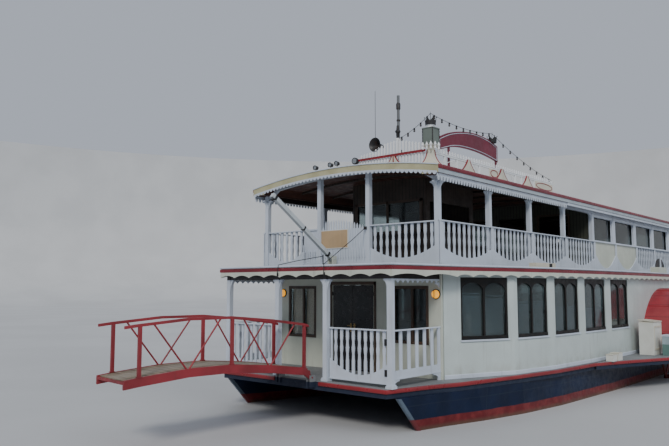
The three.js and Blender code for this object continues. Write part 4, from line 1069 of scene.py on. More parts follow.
board_tan = paint("board_tan", (0.50, 0.35, 0.20), 0.5, 0.1, 0.3, change=board_tones)
blank.build("front_blank_board", board_tan, slot="cream_paint")
strut = Solid().tube([(-1.52, -1.27, 3.305), (-1.50, -1.24, 3.86)], 0.014)
strut.build("front_white_strut", white_paint, smooth=40)


# Wheelhouse and upper saloon ends: vertical softwood boards, stained dark and nailed to a frame, with a
# bead between each two. Brown trims are screwed round the windows.
def board_joints(shade):
    return shade.lines(shade.math("ADD", shade.x, shade.y), 0.105, 0.010)


def boarded(shade, tone):
    return shade.mix(board_joints(shade), tone, (0.006, 0.005, 0.004))


stained_boards = paint(
    "stained_boards", (0.050, 0.034, 0.026), 0.5, 0.35, 0.2, (0.09, 0.07, 0.05), 0.2, 70, boarded,
    board_joints)
coat(stained_boards, "wheelhouse", "wheelhouse_door")
saloon_end = paint(
    "saloon_end_olive", (0.055, 0.060, 0.045), 0.55, 0.2, 0.2, (0.09, 0.08, 0.06), 0.15, 60, boarded)
coat(saloon_end, "lounge_wall_fore", "lounge_wall_aft")
house = Solid()
TRIM_X = (-3.299, -3.282)
for across in ((-1.06, -0.98), (0.98, 1.06), (-0.035, 0.035)):
    house.box(TRIM_X, across, (4.19, 5.01))
for upward in ((4.19, 4.25), (4.95, 5.01)):
    house.box(TRIM_X, (-1.06, 1.06), upward)
house.build("wheelhouse_window_trim", brown_timber, slot="dark_paint")
house_glass = Solid()
house_glass.box((-3.335, -3.329), (-0.999, 0.999), (4.251, 4.949))
house_glass.build("wheelhouse_glass", window_glass, slot="window_glass")
lounge_trim = Solid()
for x, way in ((-10.16, 1), (-18.36, -1)):
    face_x = off_face(x, way, 0.001, 0.018)
    for y0, y1 in ((0.95, 1.90), (-1.90, -0.95)):
        for ya, yb, t0, t1 in (
            (y0 - 0.06, y0, 4.19, 5.13), (y1, y1 + 0.06, 4.19, 5.13), (y0, y1, 4.19, 4.245),
            (y0, y1, 5.08, 5.13)
        ):
            lounge_trim.box(face_x, (ya, yb), (t0, t1))
lounge_trim.build("lounge_end_window_trim", brown_timber, slot="dark_paint")


# Roof: a cambered deck with a pale weathered skin, a boarded red-brown ceiling, end fascias tinted
# olive-cream and side fascias tinted grey-blue as painted warm light and painted sky light, under a red
# edge moulding, and toothed trim below the end fascias.
def roof_tones(shade, tone):
    share = shade.math("DIVIDE", shade.y, 2.83)
    crown = shade.math("SUBTRACT", 5.62, shade.product(share, share, 0.25))
    depth = shade.math("SUBTRACT", crown, shade.z)
    skin = shade.mottle((2.2, 8, (0.5, 1, 1)), 0.35, 0.7, (0.42, 0.43, 0.42), (0.55, 0.55, 0.53))
    skin = shade.mix(shade.lines(shade.x, 1.2, 0.02, 0.4), skin, (0.25, 0.25, 0.24))
    boards = shade.mottle((3, 7, (0.3, 4, 1)), 0.35, 0.7, (0.090, 0.036, 0.026), (0.150, 0.062, 0.042))
    boards = shade.mix(shade.lines(shade.y, 0.135, 0.012), boards, (0.012, 0.007, 0.006))
    below = shade.ramp(depth, 0.012, 0.016)
    tone = shade.mix(below, skin, boards)
    # Side fascias grey-blue and end fascias olive: tinted copies of one fascia paint, painted sky light and
    # painted warm light.
    sides = shade.ramp(shade.math("ABSOLUTE", shade.y), 2.826, 2.8285)
    tone = shade.mix(sides, tone, shade.mottle((2.4, 5), 0.3, 0.7, (0.36, 0.42, 0.47), (0.44, 0.50, 0.54)))
    ends = shade.math(
        "MAXIMUM", shade.ramp(shade.x, -1.2535, -1.251), shade.ramp(shade.x, -24.9465, -24.949))
    olive = shade.mottle((3.0, 6), 0.3, 0.7, (0.40, 0.37, 0.22), (0.50, 0.47, 0.30))
    return shade.mix(ends, tone, olive)


roof_paint = paint("roof_paint", CREAM, 0.6, 0.05, 0.15, bump=0.2, fine=30, change=roof_tones)
coat(roof_paint, "roof")
ROOF_SIDE, ROOF_ENDS = 2.83, (-1.25, -24.95)
ROOF_MOULDING = [
    (0.001, 5.290), (0.010, 5.286), (0.018, 5.296), (0.018, 5.364),
    (0.008, 5.376), (-0.020, 5.376), (-0.020, 5.370), (0.001, 5.368),
]
roof_red = Solid().loft([[(x, ROOF_SIDE + d, z) for d, z in ROOF_MOULDING] for x in ROOF_ENDS])
roof_red.mirror().build("roof_side_moulding", dark_red_paint, slot="red_paint", smooth=40)


def on_arc(edge):
    """Board lengths run across the boat, and heights are from the roof's underside arc."""
    return lambda s, t, d: Vector((edge + d, s, roof_height(s, 5.20) + t))


TRIM_SIDE, END_TEETH = 2.80, 48
end_trim = Solid()
for edge, way in zip(ROOF_ENDS, (1, -1)):
    tooth = 2 * TRIM_SIDE / END_TEETH
    lower = []
    for k in range(END_TEETH):
        y = -TRIM_SIDE + tooth * k
        lower += [
            (y, -0.004), (y + 0.30 * tooth, -0.048), (y + 0.50 * tooth, -0.056), (y + 0.70 * tooth, -0.048)]
    lower.append((TRIM_SIDE, -0.004))
    upper = [(TRIM_SIDE - TRIM_SIDE * k / 12, 0.022) for k in range(25)]
    end_trim.board(lower + upper, on_arc(edge), 0.010 * way, 0.001 * way)
    lip_low = [(-ROOF_SIDE + ROOF_SIDE * k / 12, 0.158) for k in range(25)]
    lip_high = [(y, 0.178) for y, _ in lip_low[::-1]]
    end_trim.board(lip_low + lip_high, on_arc(edge), 0.016 * way, 0.001 * way)
end_trim.build("roof_end_trim", white_paint)
beams = Solid()
for x in [-2.6 - 1.25 * k for k in range(18)]:
    under = [(y, roof_height(y, 5.31) - 0.004) for y in [2.36 - 2.36 * k / 8 for k in range(17)]]
    beams.board(under + [(y, z - 0.055) for y, z in under[::-1]], crosswise(x), 0.045)
beams.build("roof_beams", stained_boards, slot="dark_paint")


# Ornament along the port front corner of the roof: a row of pointed pickets behind a red rail, flared
# brackets edged in red, a corner pedestal with a plain lamp box, and a black iron crown finial.
cream_white = paint("ornament_cream", (0.66, 0.63, 0.52), 0.45, 0.1, 0.3, bump=0.1, fine=40)
CREST = [(0.44, 5.82), (0.54, 5.88), (0.85, 5.93), (1.25, 6.07), (1.57, 6.11), (2.27, 5.95), (2.36, 5.92)]


def crest_top(y):
    for (ya, za), (yb, zb) in zip(CREST, CREST[1:]):
        if ya <= y <= yb:
            return za + (zb - za) * (y - ya) / (yb - ya)


crest = Solid()
for k in range(22):
    y = 0.47 + 0.0845 * k
    foot, top, half, barb = roof_height(y) + 0.002, crest_top(y), 0.022, 0.0308
    shaft, point = top - 0.045, top - 0.04
    crest.board([
        (y - half, foot), (y + half, foot), (y + half, shaft), (y + barb, point),
        (y, top), (y - barb, point), (y - half, shaft)], crosswise(-1.565), 0.018)
crest.board(oblong(0.42, 2.40, 5.70, 5.73), crosswise(-1.585), 0.018)
# The pickets and small roof ornaments take a much brighter copy of the white paint: painted light on the
# roof top.
lit_picket_white = paint("lit_picket_white", (0.84, 0.86, 0.88), 0.40, 0.06, 0.12)
crest.build("roof_crest_pickets", lit_picket_white, instead_of=("roof_crest",))
crest_red = Solid()
crest_red.box((-1.545, -1.515), (0.42, 2.33), (5.742, 5.782))
crest_red.box((-1.560, -1.510), (0.40, 2.33), (5.782, 5.790))


def flared_bracket(cream, red, centre, foot, head, base, neck, place):
    """A board with both edges drawn in to a neck, and a red bead bent along each edge."""
    def side(way, shift=0.0):
        edge = []
        for k in range(9):
            half = neck + (base - neck) * (1 - k / 8) ** 1.5
            edge.append((centre + way * (half + shift), foot + (head - foot) * k / 8))
        return edge
    right, left = side(1), side(-1)
    cream.board(right + left[::-1], place, 0.022)
    for way in (1, -1):
        outer, inner = side(way, 0.012), side(way, -0.012)
        red.board(outer + inner[::-1], place, 0.030, -0.004)


brackets, bracket_red = Solid(), Solid()
front_place = crosswise(-1.538)
flared_bracket(brackets, bracket_red, 1.49, roof_height(1.49) - 0.01, 5.77, 0.20, 0.035, front_place)
bracket_red.board(oblong(1.475, 1.505, 5.56, 5.74), front_place, 0.026)
SIDE_RAIL_Y = 2.445
side_place = lengthwise(SIDE_RAIL_Y + 0.022)
for x in (-3.10, -4.73, -6.15):
    flared_bracket(brackets, bracket_red, x, 5.435, 5.76, 0.36, 0.045, side_place)
PEDESTAL = (-1.60, 2.43)
rise = [math.pi / 16 * k for k in range(9)]
pedestal_levels = [(0.26 - 0.20 * math.sin(a), 5.40 + 0.36 * (1 - math.cos(a))) for a in rise]
brackets.tower(PEDESTAL, pedestal_levels)
for i, j in ((1, -1), (-1, 1)):
    corner = [(PEDESTAL[0] + i * half, PEDESTAL[1] + j * half, z) for half, z in pedestal_levels]
    bracket_red.tube(corner, 0.013)
brackets.tower(PEDESTAL, [(0.062, 5.76), (0.075, 5.80), (0.125, 5.86), (0.125, 5.88)])
brackets.build("roof_brackets", cream_white, slot="cream_paint")
crest_red.build("roof_crest_rail", red_paint, slot="red_paint")
bracket_red.build("roof_bracket_beads", red_paint, slot="red_paint", smooth=40)
UNTURNED = (0.0, 0.0, 0.0)
LOW_PICKET = [
    (-0.020, 0.0), (0.020, 0.0), (0.020, 0.035), (0.032, 0.045), (0.0, 0.095), (-0.032, 0.045),
    (-0.020, 0.035)]
side_crest = Solid()
for half, low, high in ((0.02, 5.70, 5.735), (0.03, 5.735, 5.750)):
    side_crest.box((-7.80, -1.74), (SIDE_RAIL_Y - half, SIDE_RAIL_Y + half), (low, high))
low_picket = Solid().board(LOW_PICKET, lengthwise(0.0), 0.018, -0.009)
side_crest.rows(low_picket, [((-1.85, SIDE_RAIL_Y, 5.749), (-7.77, SIDE_RAIL_Y, 5.749), 50, UNTURNED)])
for x in (-2.12, -2.63, -3.66, -4.30, -5.50, -5.85, -6.60, -7.78):
    side_crest.tower((x, SIDE_RAIL_Y), [(0.018, roof_height(SIDE_RAIL_Y) + 0.001), (0.018, 5.705)])
for xa, xb in ((-1.80, -2.63), (-3.66, -3.40), (-5.50, -5.20)):
    side_crest.tube([(xa, SIDE_RAIL_Y, 5.44), (xb, SIDE_RAIL_Y, 5.70)], 0.006, 6)
side_crest.build("roof_side_crest", lit_picket_white)
ovals, oval_red = Solid(), Solid()
for x0, x1 in ((-4.55, -4.09), (-7.74, -6.62)):
    ovals.board([(x1, 5.475), (x1, 5.695), (x0, 5.695), (x0, 5.475)], side_place, 0.014)
    centre, wide = (x0 + x1) / 2, (x1 - x0) / 2 - 0.05
    rings = []
    for r, d in ((0.010, 0.015), (0.010, 0.022), (-0.010, 0.022), (-0.010, 0.015)):
        oval = [
            (centre + (wide + r) * math.cos(a), 5.585 + (0.085 + r) * math.sin(a)) for a in round_steps(32)]
        rings.append([side_place(s, t, d) for s, t in oval])
    oval_red.loft(rings, loop=True)
ovals.build("roof_blank_panels", cream_white, slot="cream_paint")
oval_red.build("roof_panel_beads", red_paint, slot="red_paint", smooth=40)


# Lamp box on the pedestal: grey-green sheet metal with a beaded edge, and on it a white turned base for
# the crown. The crown is cut from black sheet iron, and a second one stands on the arched board.
box_green = paint("lamp_box_green", (0.145, 0.175, 0.155), 0.55, 0.15, 0.35, bump=0.15, fine=60)
LAMP_BOX_X, LAMP_BOX_Y, LAMP_BOX_Z, LIP = (-1.73, -1.475), (2.305, 2.56), (5.885, 6.225), 0.012
lamp_box, beads = Solid(), Solid()
lamp_box.box(LAMP_BOX_X, LAMP_BOX_Y, LAMP_BOX_Z)
for z in LAMP_BOX_Z:
    around = [(low - LIP, high + LIP) for low, high in (LAMP_BOX_X, LAMP_BOX_Y)]
    lamp_box.box(*around, (z - 0.004, z + 0.016))
lamp_box.build("corner_lamp_box", box_green, slot="dark_paint")
BALL = [(0.002, -0.014), (0.009, -0.011), (0.014, 0.0), (0.009, 0.011), (0.002, 0.014)]
bead = Solid().lathe(BALL, (0, 0, 0), 8)
front, side = LAMP_BOX_X[1] + 0.004, LAMP_BOX_Y[1] + 0.004
edges = ((front, LAMP_BOX_Y[0]), (front, LAMP_BOX_Y[1]), (LAMP_BOX_X[0], side))
beads.rows(bead, [((x, y, 5.915), (x, y, 6.205), 10, UNTURNED) for x, y in edges])
beads.build("lamp_box_beads", iron, slot="dark_paint", smooth=60)
TURNED_DROP = [(0.020, 5.765), (0.026, 5.79), (0.014, 5.82), (0.034, 5.86), (0.016, 5.90), (0.003, 5.93)]
CROWN_BASE = [(0.115, 6.242), (0.115, 6.252), (0.085, 6.26), (0.075, 6.28), (0.100, 6.295), (0.100, 6.305)]
ornaments = Solid()
for x, y in ((-1.445, 2.33), (-1.445, 2.43), (-1.445, 2.53), (-1.52, 2.59), (-1.66, 2.59)):
    ornaments.lathe(TURNED_DROP, (x, y, 0), 10)
ornaments.lathe(CROWN_BASE, (*PEDESTAL, 0))
ornaments.build("roof_small_ornaments", lit_picket_white, smooth=40)


def crown(solid, at, radius, height, points=6):
    """A ring of sheet iron cut into flared points, with a ball on each."""
    inner, outer, count = radius - 0.006, radius, points * 4

    def upright_edge(k):
        """Section of the sheet at one of the steps round the ring."""
        a = 2 * math.pi * k / count
        lift = (0.45 + 0.45 * abs((k / 4 % 1) * 2 - 1)) * height
        spread = 1.0 + 0.16 * (lift / height)
        section = ((inner, 0.0), (outer, 0.0), (outer * spread, lift), (inner * spread, lift))
        return [
            (at[0] + reach * math.cos(a), at[1] + reach * math.sin(a), at[2] + h) for reach, h in section]

    for k in range(count):
        solid.loft([upright_edge(k), upright_edge(k + 1)])
    reach, top = outer * 1.145, at[2] + 0.90 * height + 0.008
    small_ball = [(0.002, -0.012), (0.010, -0.008), (0.013, 0.0), (0.010, 0.008), (0.002, 0.012)]
    for a in round_steps(points):
        solid.lathe(small_ball, (at[0] + reach * math.cos(a), at[1] + reach * math.sin(a), top), 8)


crowns = Solid()
crown(crowns, (-1.60, 2.43, 6.306), 0.112, 0.18)
crowns.lathe([(0.006, 6.30), (0.006, 6.56), (0.002, 6.61)], (-1.60, 2.43, 0), 8)
crown(crowns, (-4.44, 2.38, 6.385), 0.105, 0.17)
crowns.lathe([(0.006, 6.37), (0.006, 6.60), (0.002, 6.66)], (-4.44, 2.38, 0), 8)
crowns.build("roof_crowns", iron, slot="dark_paint", smooth=30)


# Arched board over the side rail: maroon painted timber with a raised border, its face left plain, on
# two legs.
SIGN_LOW = [(-4.68, 5.93), (-4.16, 6.00), (-3.56, 6.04), (-2.93, 6.03), (-2.50, 5.975), (-1.96, 5.83)]
SIGN_HIGH = [(-1.96, 6.12), (-2.41, 6.29), (-2.95, 6.41), (-3.58, 6.47), (-4.25, 6.43), (-4.68, 6.325)]


def smooth_line(points, steps=5):
    """Rounds a line of points by carrying each span through the slopes of its neighbours."""
    def between(a, b, c, d, u):
        square, cube = 2 * a - 5 * b + 4 * c - d, 3 * b - a - 3 * c + d
        return 0.5 * (2 * b + (c - a) * u + square * u * u + cube * u ** 3)

    line, last = [], len(points) - 1
    for i in range(last):
        near = (points[max(i - 1, 0)], points[i], points[i + 1], points[min(i + 2, last)])
        for k in range(steps):
            line.append(tuple(between(*along, k / steps) for along in zip(*near)))
    return line + [points[-1]]


low_line, high_line = smooth_line(SIGN_LOW), smooth_line(SIGN_HIGH)
sign_place = lengthwise(2.36)
sign = Solid()
sign.board(low_line + high_line, sign_place, 0.032, 0.004)
for x in (-4.60, -2.40):
    sign.box((x - 0.03, x + 0.03), (2.364, 2.396), (roof_height(2.38) + 0.001, 5.97))
maroon = paint("maroon_gloss", (0.16, 0.014, 0.034), 0.36, 0.18, 0.2, (0.09, 0.04, 0.04), 0.1, 35)
sign.build("arched_board", maroon, slot="red_paint", instead_of=("sign_board",))
INSET = 0.040
border = Solid()
inside = [(s, t + INSET) for s, t in low_line] + [(s, t - INSET) for s, t in high_line]
ring = [sign_place(s * 0.965 - 0.116, t, 0.038) for s, t in inside]
border.tube(ring + [ring[0]], 0.008, 6)
border.build("arched_board_border", white_paint, smooth=60)


# Roof lamps: black enamelled spotlights screwed down on short stems along the front edge, a searchlight
# and a horn loudspeaker on taller ones by the pickets, and a festoon of glass bulbs on a light wire.
SPOT_CAN = [(0.030, -0.06), (0.045, -0.05), (0.055, 0.03), (0.060, 0.05), (0.052, 0.05), (0.045, 0.035)]
SPOT_LENS = [(0.003, 0.030), (0.045, 0.034), (0.045, 0.040), (0.003, 0.042)]
SEARCH_CAN = [
    (0.020, -0.085), (0.062, -0.06), (0.078, -0.01), (0.080, 0.05), (0.070, 0.055), (0.062, 0.040)]
SEARCH_LENS = [(0.003, 0.036), (0.062, 0.042), (0.062, 0.050), (0.003, 0.052)]
HORN = [
    (0.035, -0.16), (0.045, -0.10), (0.06, 0.0), (0.10, 0.08), (0.15, 0.14),
    (0.165, 0.16), (0.152, 0.155), (0.09, 0.075), (0.03, 0.0),
]
spots, lenses = Solid(), Solid()


def roof_lamp(at, body, stem_top, stem_radius, sides, lens=None):
    """A lamp or horn that looks forward from the head of a stem on the roof."""
    x, y, _ = at
    spots.tube([(x, y, roof_height(y) + 0.001), (x, y, stem_top)], stem_radius)
    spots.lathe(body, at, sides, "x")
    if lens:
        lenses.lathe(lens, at, sides, "x")


for y, lift in ((-0.71, 0.085), (-0.23, 0.085), (-0.03, 0.095)):
    z = roof_height(y) + lift
    roof_lamp((-1.36, y, z + 0.02), SPOT_CAN, z, 0.010, 16, SPOT_LENS)
z = roof_height(0.42) + 0.14
roof_lamp((-1.50, 0.42, z), SEARCH_CAN, z - 0.04, 0.014, 20, SEARCH_LENS)
roof_lamp((-1.70, 0.95, 6.08), HORN, 6.02, 0.016, 20)
spots.build("roof_lamps", iron, slot="dark_paint", smooth=40)
lens_shade = Shade("lamp_lens")
lens_tone = lens_shade.mix(
    lens_shade.lines(lens_shade.y, 0.012, 0.004), (0.30, 0.33, 0.36), (0.16, 0.18, 0.20))
lens_glass = lens_shade.finish(
    lens_tone, lens_shade.patches((30, 2), 0.3, 0.7, 0.05, 0.15),
    lens_shade.lines(lens_shade.y, 0.012, 0.006), 0.3)
lenses.build("roof_lamp_lenses", lens_glass, slot="window_glass", smooth=40)
STRING = [(-1.55, 1.62, 6.12), (-1.60, 2.43, 6.57), (-4.44, 2.38, 6.62), (-7.76, 2.445, 5.83)]
HOLDER = [(0.016, -0.035), (0.020, -0.030), (0.020, 0.006), (0.012, 0.010)]
BULB = [(0.004, -0.085), (0.020, -0.075), (0.026, -0.058), (0.018, -0.038), (0.015, -0.034)]
wire, bulbs = Solid(), Solid()


def hanging(a, b, sag, share):
    return Vector(a).lerp(Vector(b), share) - Vector((0, 0, sag * 4 * share * (1 - share)))


for a, b, count, sag in zip(STRING, STRING[1:], (5, 9, 9), (0.05, 0.10, 0.10)):
    wire.tube([hanging(a, b, sag, k / 12) for k in range(13)], 0.005, 6)
    for k in range(count):
        p = hanging(a, b, sag, (k + 0.5) / count)
        wire.lathe(HOLDER, p, 8)
        bulbs.lathe(BULB, p, 10)
wire.build("festoon_wire", iron, slot="dark_paint", smooth=40)
bulb_shade = Shade("bulb_glass")
bulb_tone = bulb_shade.mottle((50, 2), 0.3, 0.7, (0.05, 0.05, 0.06), (0.09, 0.08, 0.07))
bulb_glass = bulb_shade.finish(
    bulb_tone, bulb_shade.patches((20, 2), 0.3, 0.7, 0.08, 0.2), bulb_shade.noise(80, 2), 0.1)
bulbs.build("festoon_bulbs", bulb_glass, slot="window_glass", smooth=60)


# Mast: a grey painted steel pole stepped on the roof ridge, with clamped bands, a lamp and a black cap.
# A whip aerial stands before it, and a white turned post with a black cap carries the crest's centre.
mast_grey = paint("mast_grey", (0.13, 0.14, 0.15), 0.45, 0.15, 0.3, bump=0.1, fine=60)
coat(mast_grey, "mast")
MAST, MAST_RADIUS = (-3.80, 0, 0), 0.0385
mast_parts = Solid()
for radius, low, high in ((0.055, 5.65, 5.78), (0.048, 6.46, 6.54), (0.052, 7.20, 7.25)):
    mast_parts.lathe(
        [(MAST_RADIUS, low), (radius, low + 0.006), (radius, high - 0.006), (MAST_RADIUS, high)], MAST, 16)
mast_parts.lathe([(0.040, 7.52), (0.058, 7.53), (0.060, 7.66), (0.045, 7.70), (0.040, 7.70)], MAST, 16)
mast_parts.lathe([(0.030, 6.30), (0.055, 6.31), (0.060, 6.40), (0.030, 6.42)], (-3.80, 0.085, 0), 12)
mast_parts.build("mast_fittings", iron, slot="dark_paint", smooth=40)
AERIAL = [(0.05, 5.60), (0.05, 5.625), (0.018, 5.64), (0.018, 5.80), (0.008, 5.82), (0.005, 7.80)]
aerial = Solid().lathe(AERIAL, (-2.80, 0.0, 0), 10)
aerial.build("whip_aerial", iron, slot="dark_paint", smooth=40)
CREST_CENTRE = (-1.66, 1.52, 0)
CENTRE_POST = [
    (0.075, 5.56), (0.075, 5.60), (0.050, 5.62), (0.045, 6.10), (0.060, 6.12), (0.060, 6.15), (0.030, 6.17),
]
POST_CAP = [
    (0.035, 6.17), (0.040, 6.28), (0.065, 6.31), (0.055, 6.34), (0.035, 6.36), (0.028, 6.45), (0.004, 6.47),
]
finial = Solid().lathe(CENTRE_POST, CREST_CENTRE, 20)
finial.build("crest_centre_post", lit_picket_white, smooth=40)
finial_cap = Solid().lathe(POST_CAP, CREST_CENTRE, 20)
finial_cap.build("crest_post_cap", iron, slot="dark_paint", smooth=40)


# Paddle boxes: red painted steel plate rolled over the wheels, its strips joined on ribs, with a flat
# rim bar round each outer cheek. The wheels are red steel with bolted timber floats, and the engine
# between them has a plain grey painted casing.
AXLE = (WHEEL_X, 1.0)
BOX_CENTRE, BOX_ROUND = (WHEEL_X, 0.5), 2.3


def round_seams(shade):
    turn = shade.math(
        "ARCTAN2", shade.math("SUBTRACT", shade.z, BOX_CENTRE[1]),
        shade.math("SUBTRACT", shade.x, BOX_CENTRE[0]))
    return shade.lines(turn, math.pi / 14, 0.006)


def box_tones(shade, tone):
    fade = shade.product(shade.patches((1.3, 5), 0.4, 0.7), 0.45)
    tone = shade.mix(fade, tone, (0.42, 0.075, 0.075))
    splash = shade.product(
        shade.ramp(shade.z, 1.7, 0.9, 0.0, 0.55), shade.patches((5, 6, (1, 1, 0.4)), 0.45, 0.7))
    tone = shade.mix(splash, tone, (0.11, 0.05, 0.045))
    return shade.mix(shade.product(round_seams(shade), 0.6), tone, (0.07, 0.010, 0.014))


box_paint = paint(
    "paddle_box_red", (0.30, 0.024, 0.036), 0.42, 0.2, 0.3, (0.12, 0.05, 0.04), 0.25, 40, box_tones,
    round_seams)
coat(box_paint, "paddle_box_port", "paddle_box_stbd")
START = math.asin((0.8803 - BOX_CENTRE[1]) / BOX_ROUND)
rim, ribs = Solid(), Solid()


def on_round(radius, angle, y):
    return Vector((BOX_CENTRE[0] + radius * math.cos(angle), y, BOX_CENTRE[1] + radius * math.sin(angle)))


RIM_STEPS = 48
arch = [START + (math.pi - 2 * START) * k / RIM_STEPS for k in range(RIM_STEPS + 1)]
for inner, outer, near, far in ((2.19, 2.308, 4.991, 5.006), (2.301, 2.313, 4.90, 5.006)):
    bar = ((inner, near), (outer, near), (outer, far), (inner, far))
    rim.loft([[on_round(radius, a, y) for radius, y in bar] for a in arch])
rim.box((-15.72, -11.22), (4.991, 5.006), (0.885, 0.955))
PLATE_RIB = [(2.3005, 0.012), (2.318, 0.0096), (2.318, -0.0096), (2.3005, -0.012)]
CHEEK_RIB = [(0.35, 0.05), (0.35, -0.05), (2.19, -0.010), (2.19, 0.010)]
for angle in [math.radians(d) for d in (25, 50, 75, 105, 130, 155)]:
    for section, across in ((PLATE_RIB, (3.645, 4.90)), (CHEEK_RIB, (4.991, 5.002))):
        ribs.loft([[on_round(radius, angle + swing, y) for radius, swing in section] for y in across])
rim.lathe(
    [(0.26, 4.991), (0.26, 5.004), (0.20, 5.010), (0.125, 5.010), (0.125, 4.991)], (AXLE[0], 0, AXLE[1]),
    32, "y")
rim.mirror().build("paddle_box_rims", red_paint, slot="red_paint", smooth=30)
ribs.mirror().build("paddle_box_ribs", box_paint, slot="red_paint", smooth=30)
wheel_red = paint("wheel_red", (0.24, 0.022, 0.030), 0.5, 0.25, 0.5, (0.09, 0.06, 0.04), 0.2, 50)


def float_tones(shade, tone):
    grain = shade.patches((6, 8, (6, 0.5, 6)), 0.38, 0.7)
    return shade.mix(shade.product(grain, 0.6), tone, (0.10, 0.07, 0.05))


float_red = paint(
    "float_red", (0.22, 0.030, 0.030), 0.6, 0.3, 0.5, (0.06, 0.05, 0.04), 0.3, 60, float_tones)
coat(wheel_red, "paddle_wheel_port", "paddle_wheel_stbd")
coat(float_red, "paddle_floats_port", "paddle_floats_stbd")
for side, way in SIDES:
    bolts = Solid()
    for a in round_steps(8):
        for radius in (1.30, 1.43, 1.56):
            for y in (3.91, 4.72):
                out = 0.0155 if y > 4 else -0.0155
                x = AXLE[0] + radius * math.sin(a)
                z = AXLE[1] + radius * math.cos(a)
                bolts.lathe(
                    [(r, way * out * h) for r, h in ((0.016, 1.0), (0.016, 1.9), (0.009, 2.2))],
                    (x, way * y, z), 6, "y")
    bolts.build(f"paddle_bolts_{side}", iron, f"paddle_wheel_{side}", "engine_steel", 30)


def casing_tones(shade, tone):
    return shade.mix(shade.lines(shade.x, 0.55, 0.012), tone, (0.03, 0.03, 0.03))


engine_grey = paint(
    "engine_grey", (0.12, 0.14, 0.13), 0.45, 0.2, 0.6, (0.05, 0.04, 0.03), 0.2, 40, casing_tones)
coat(engine_grey, "engine")


# Deck boxes outside the walls: painted plywood lids and battens on the lockers by the paddle box, a pale
# blue chest beside them, a low box on the upper ledge and a sidelight screen over each paddle box.
lids, chest, chest_lid = Solid(), Solid(), Solid()
LID_PLAN = [(-11.115, 3.84, 0.0), (-10.285, 3.84, 0.02), (-10.285, 4.265, -0.02), (-11.115, 4.265, -0.04)]
lids.loft([[(x, y, level + rise) for x, y, rise in LID_PLAN] for level in (1.852, 1.880)])
lids.box((-11.09, -10.31), (3.86, 4.24), (1.8105, 1.834))
for z in (1.02, 1.66):
    lids.box((-11.04, -10.36), (4.2505, 4.262), (z, z + 0.05))
for x in (-11.04, -10.41):
    lids.box((x, x + 0.05), (4.2505, 4.262), (1.07, 1.66))
lids.box((-8.46, -8.14), (3.755, 3.985), (1.0705, 1.085))
lids.box((-8.10, -7.82), (3.755, 3.955), (1.0505, 1.066))
lids.mirror().build("deck_locker_lids", cream_white, slot="cream_paint")


def chest_tones(shade, tone):
    return shade.mix(shade.ramp(shade.z, 1.20, 1.19), tone, (0.12, 0.22, 0.20))


chest_paint = paint(
    "chest_blue", (0.36, 0.46, 0.50), 0.45, 0.15, 0.3, bump=0.15, fine=50, change=chest_tones)
chest.box((-10.95, -10.50), (4.42, 4.66), (0.8815, 1.42))
chest_lid.box((-10.965, -10.485), (4.405, 4.675), (1.4205, 1.46, 1.465))
chest.mirror().build("deck_chests", chest_paint, slot="white_paint")
chest_lid.mirror().build("deck_chest_lids", white_paint)
ledge_box, ledge_end = Solid(), Solid()
ledge_box.prism([(-5.26, 3.22), (-4.64, 3.17), (-4.64, 3.35), (-5.26, 3.40)], (3.302, 3.41))
ledge_box.prism([(-5.56, 3.25), (-5.42, 3.24), (-5.42, 3.42), (-5.56, 3.43)], (3.302, 3.41))
ledge_end.prism([(-5.41, 3.24), (-5.27, 3.22), (-5.27, 3.39), (-5.41, 3.41)], (3.302, 3.40))
ledge_box.build("ledge_box", cream_white, slot="cream_paint")
ledge_end.build("ledge_box_end", iron, slot="dark_paint")
screens, screen_boxes, screen_posts = Solid(), Solid(), Solid()
SCREEN_ENDS, SCREEN_FOOT = (-14.45, -13.55), 3.50
screen_arch = [(x, SCREEN_FOOT) for x in SCREEN_ENDS]
for a in [math.pi * k / 16 for k in range(1, 16)]:
    screen_arch.append((-14.00 + 0.45 * math.cos(a), SCREEN_FOOT + 0.30 * math.sin(a)))
screens.board(screen_arch, lengthwise(3.45), 0.03)
screen_boxes.box(SCREEN_ENDS, (3.30, 3.56), (3.302, SCREEN_FOOT))
screen_posts.board(
    [(-14.04, 3.50), (-13.96, 3.50), (-13.98, 3.84), (-14.02, 3.84)], lengthwise(3.484), 0.03)
screens.mirror().build("sidelight_screens", iron, slot="dark_paint")
screen_boxes.mirror().build("sidelight_boxes", cream_paint, slot="cream_paint")
screen_posts.mirror().build("sidelight_posts", white_paint)


# Gangway: a red welded steel frame with two thin brace rods in each panel of its rails, and worn grey-brown
# planks laid across. The frame turns on the pins at the deck edge.
PIVOT, TURN = (0.04, -0.03), -0.093
GANG_FLOOR = [
    (0.02, 1.105), (0.165, 1.150), (1.0, 1.262), (1.97, 1.350), (2.9, 1.350), (3.87, 1.275), (4.15, 1.245)]


def on_gangway(x, y, z):
    """A place given along the gangway, across it and up, turned about its pivot."""
    cos, sin = math.cos(TURN), math.sin(TURN)
    return Vector((PIVOT[0] + x * cos - y * sin, PIVOT[1] + x * sin + y * cos, z))


def gang_height(x):
    for (xa, za), (xb, zb) in zip(GANG_FLOOR, GANG_FLOOR[1:]):
        if x <= xb:
            return za + (zb - za) * (x - xa) / (xb - xa)


gangway_red = paint("gangway_red", (0.27, 0.024, 0.032), 0.45, 0.25, 0.45, (0.10, 0.045, 0.03), 0.2, 60)
coat(gangway_red, "gangway")
PLANKS, PLANK_PITCH, PLANK_WIDTH, HALF_PLANK = 27, 0.1505, 0.142, 0.478
planks = Solid()
for k in range(PLANKS):
    x0 = 0.06 + PLANK_PITCH * k
    x1 = x0 + PLANK_WIDTH
    ends = ((x0, -HALF_PLANK), (x1, -HALF_PLANK), (x1, HALF_PLANK), (x0, HALF_PLANK))
    bottom = [on_gangway(x, y, gang_height(x) + 0.002) for x, y in ends]
    planks.loft([bottom, [p + Vector((0, 0, 0.016)) for p in bottom]])


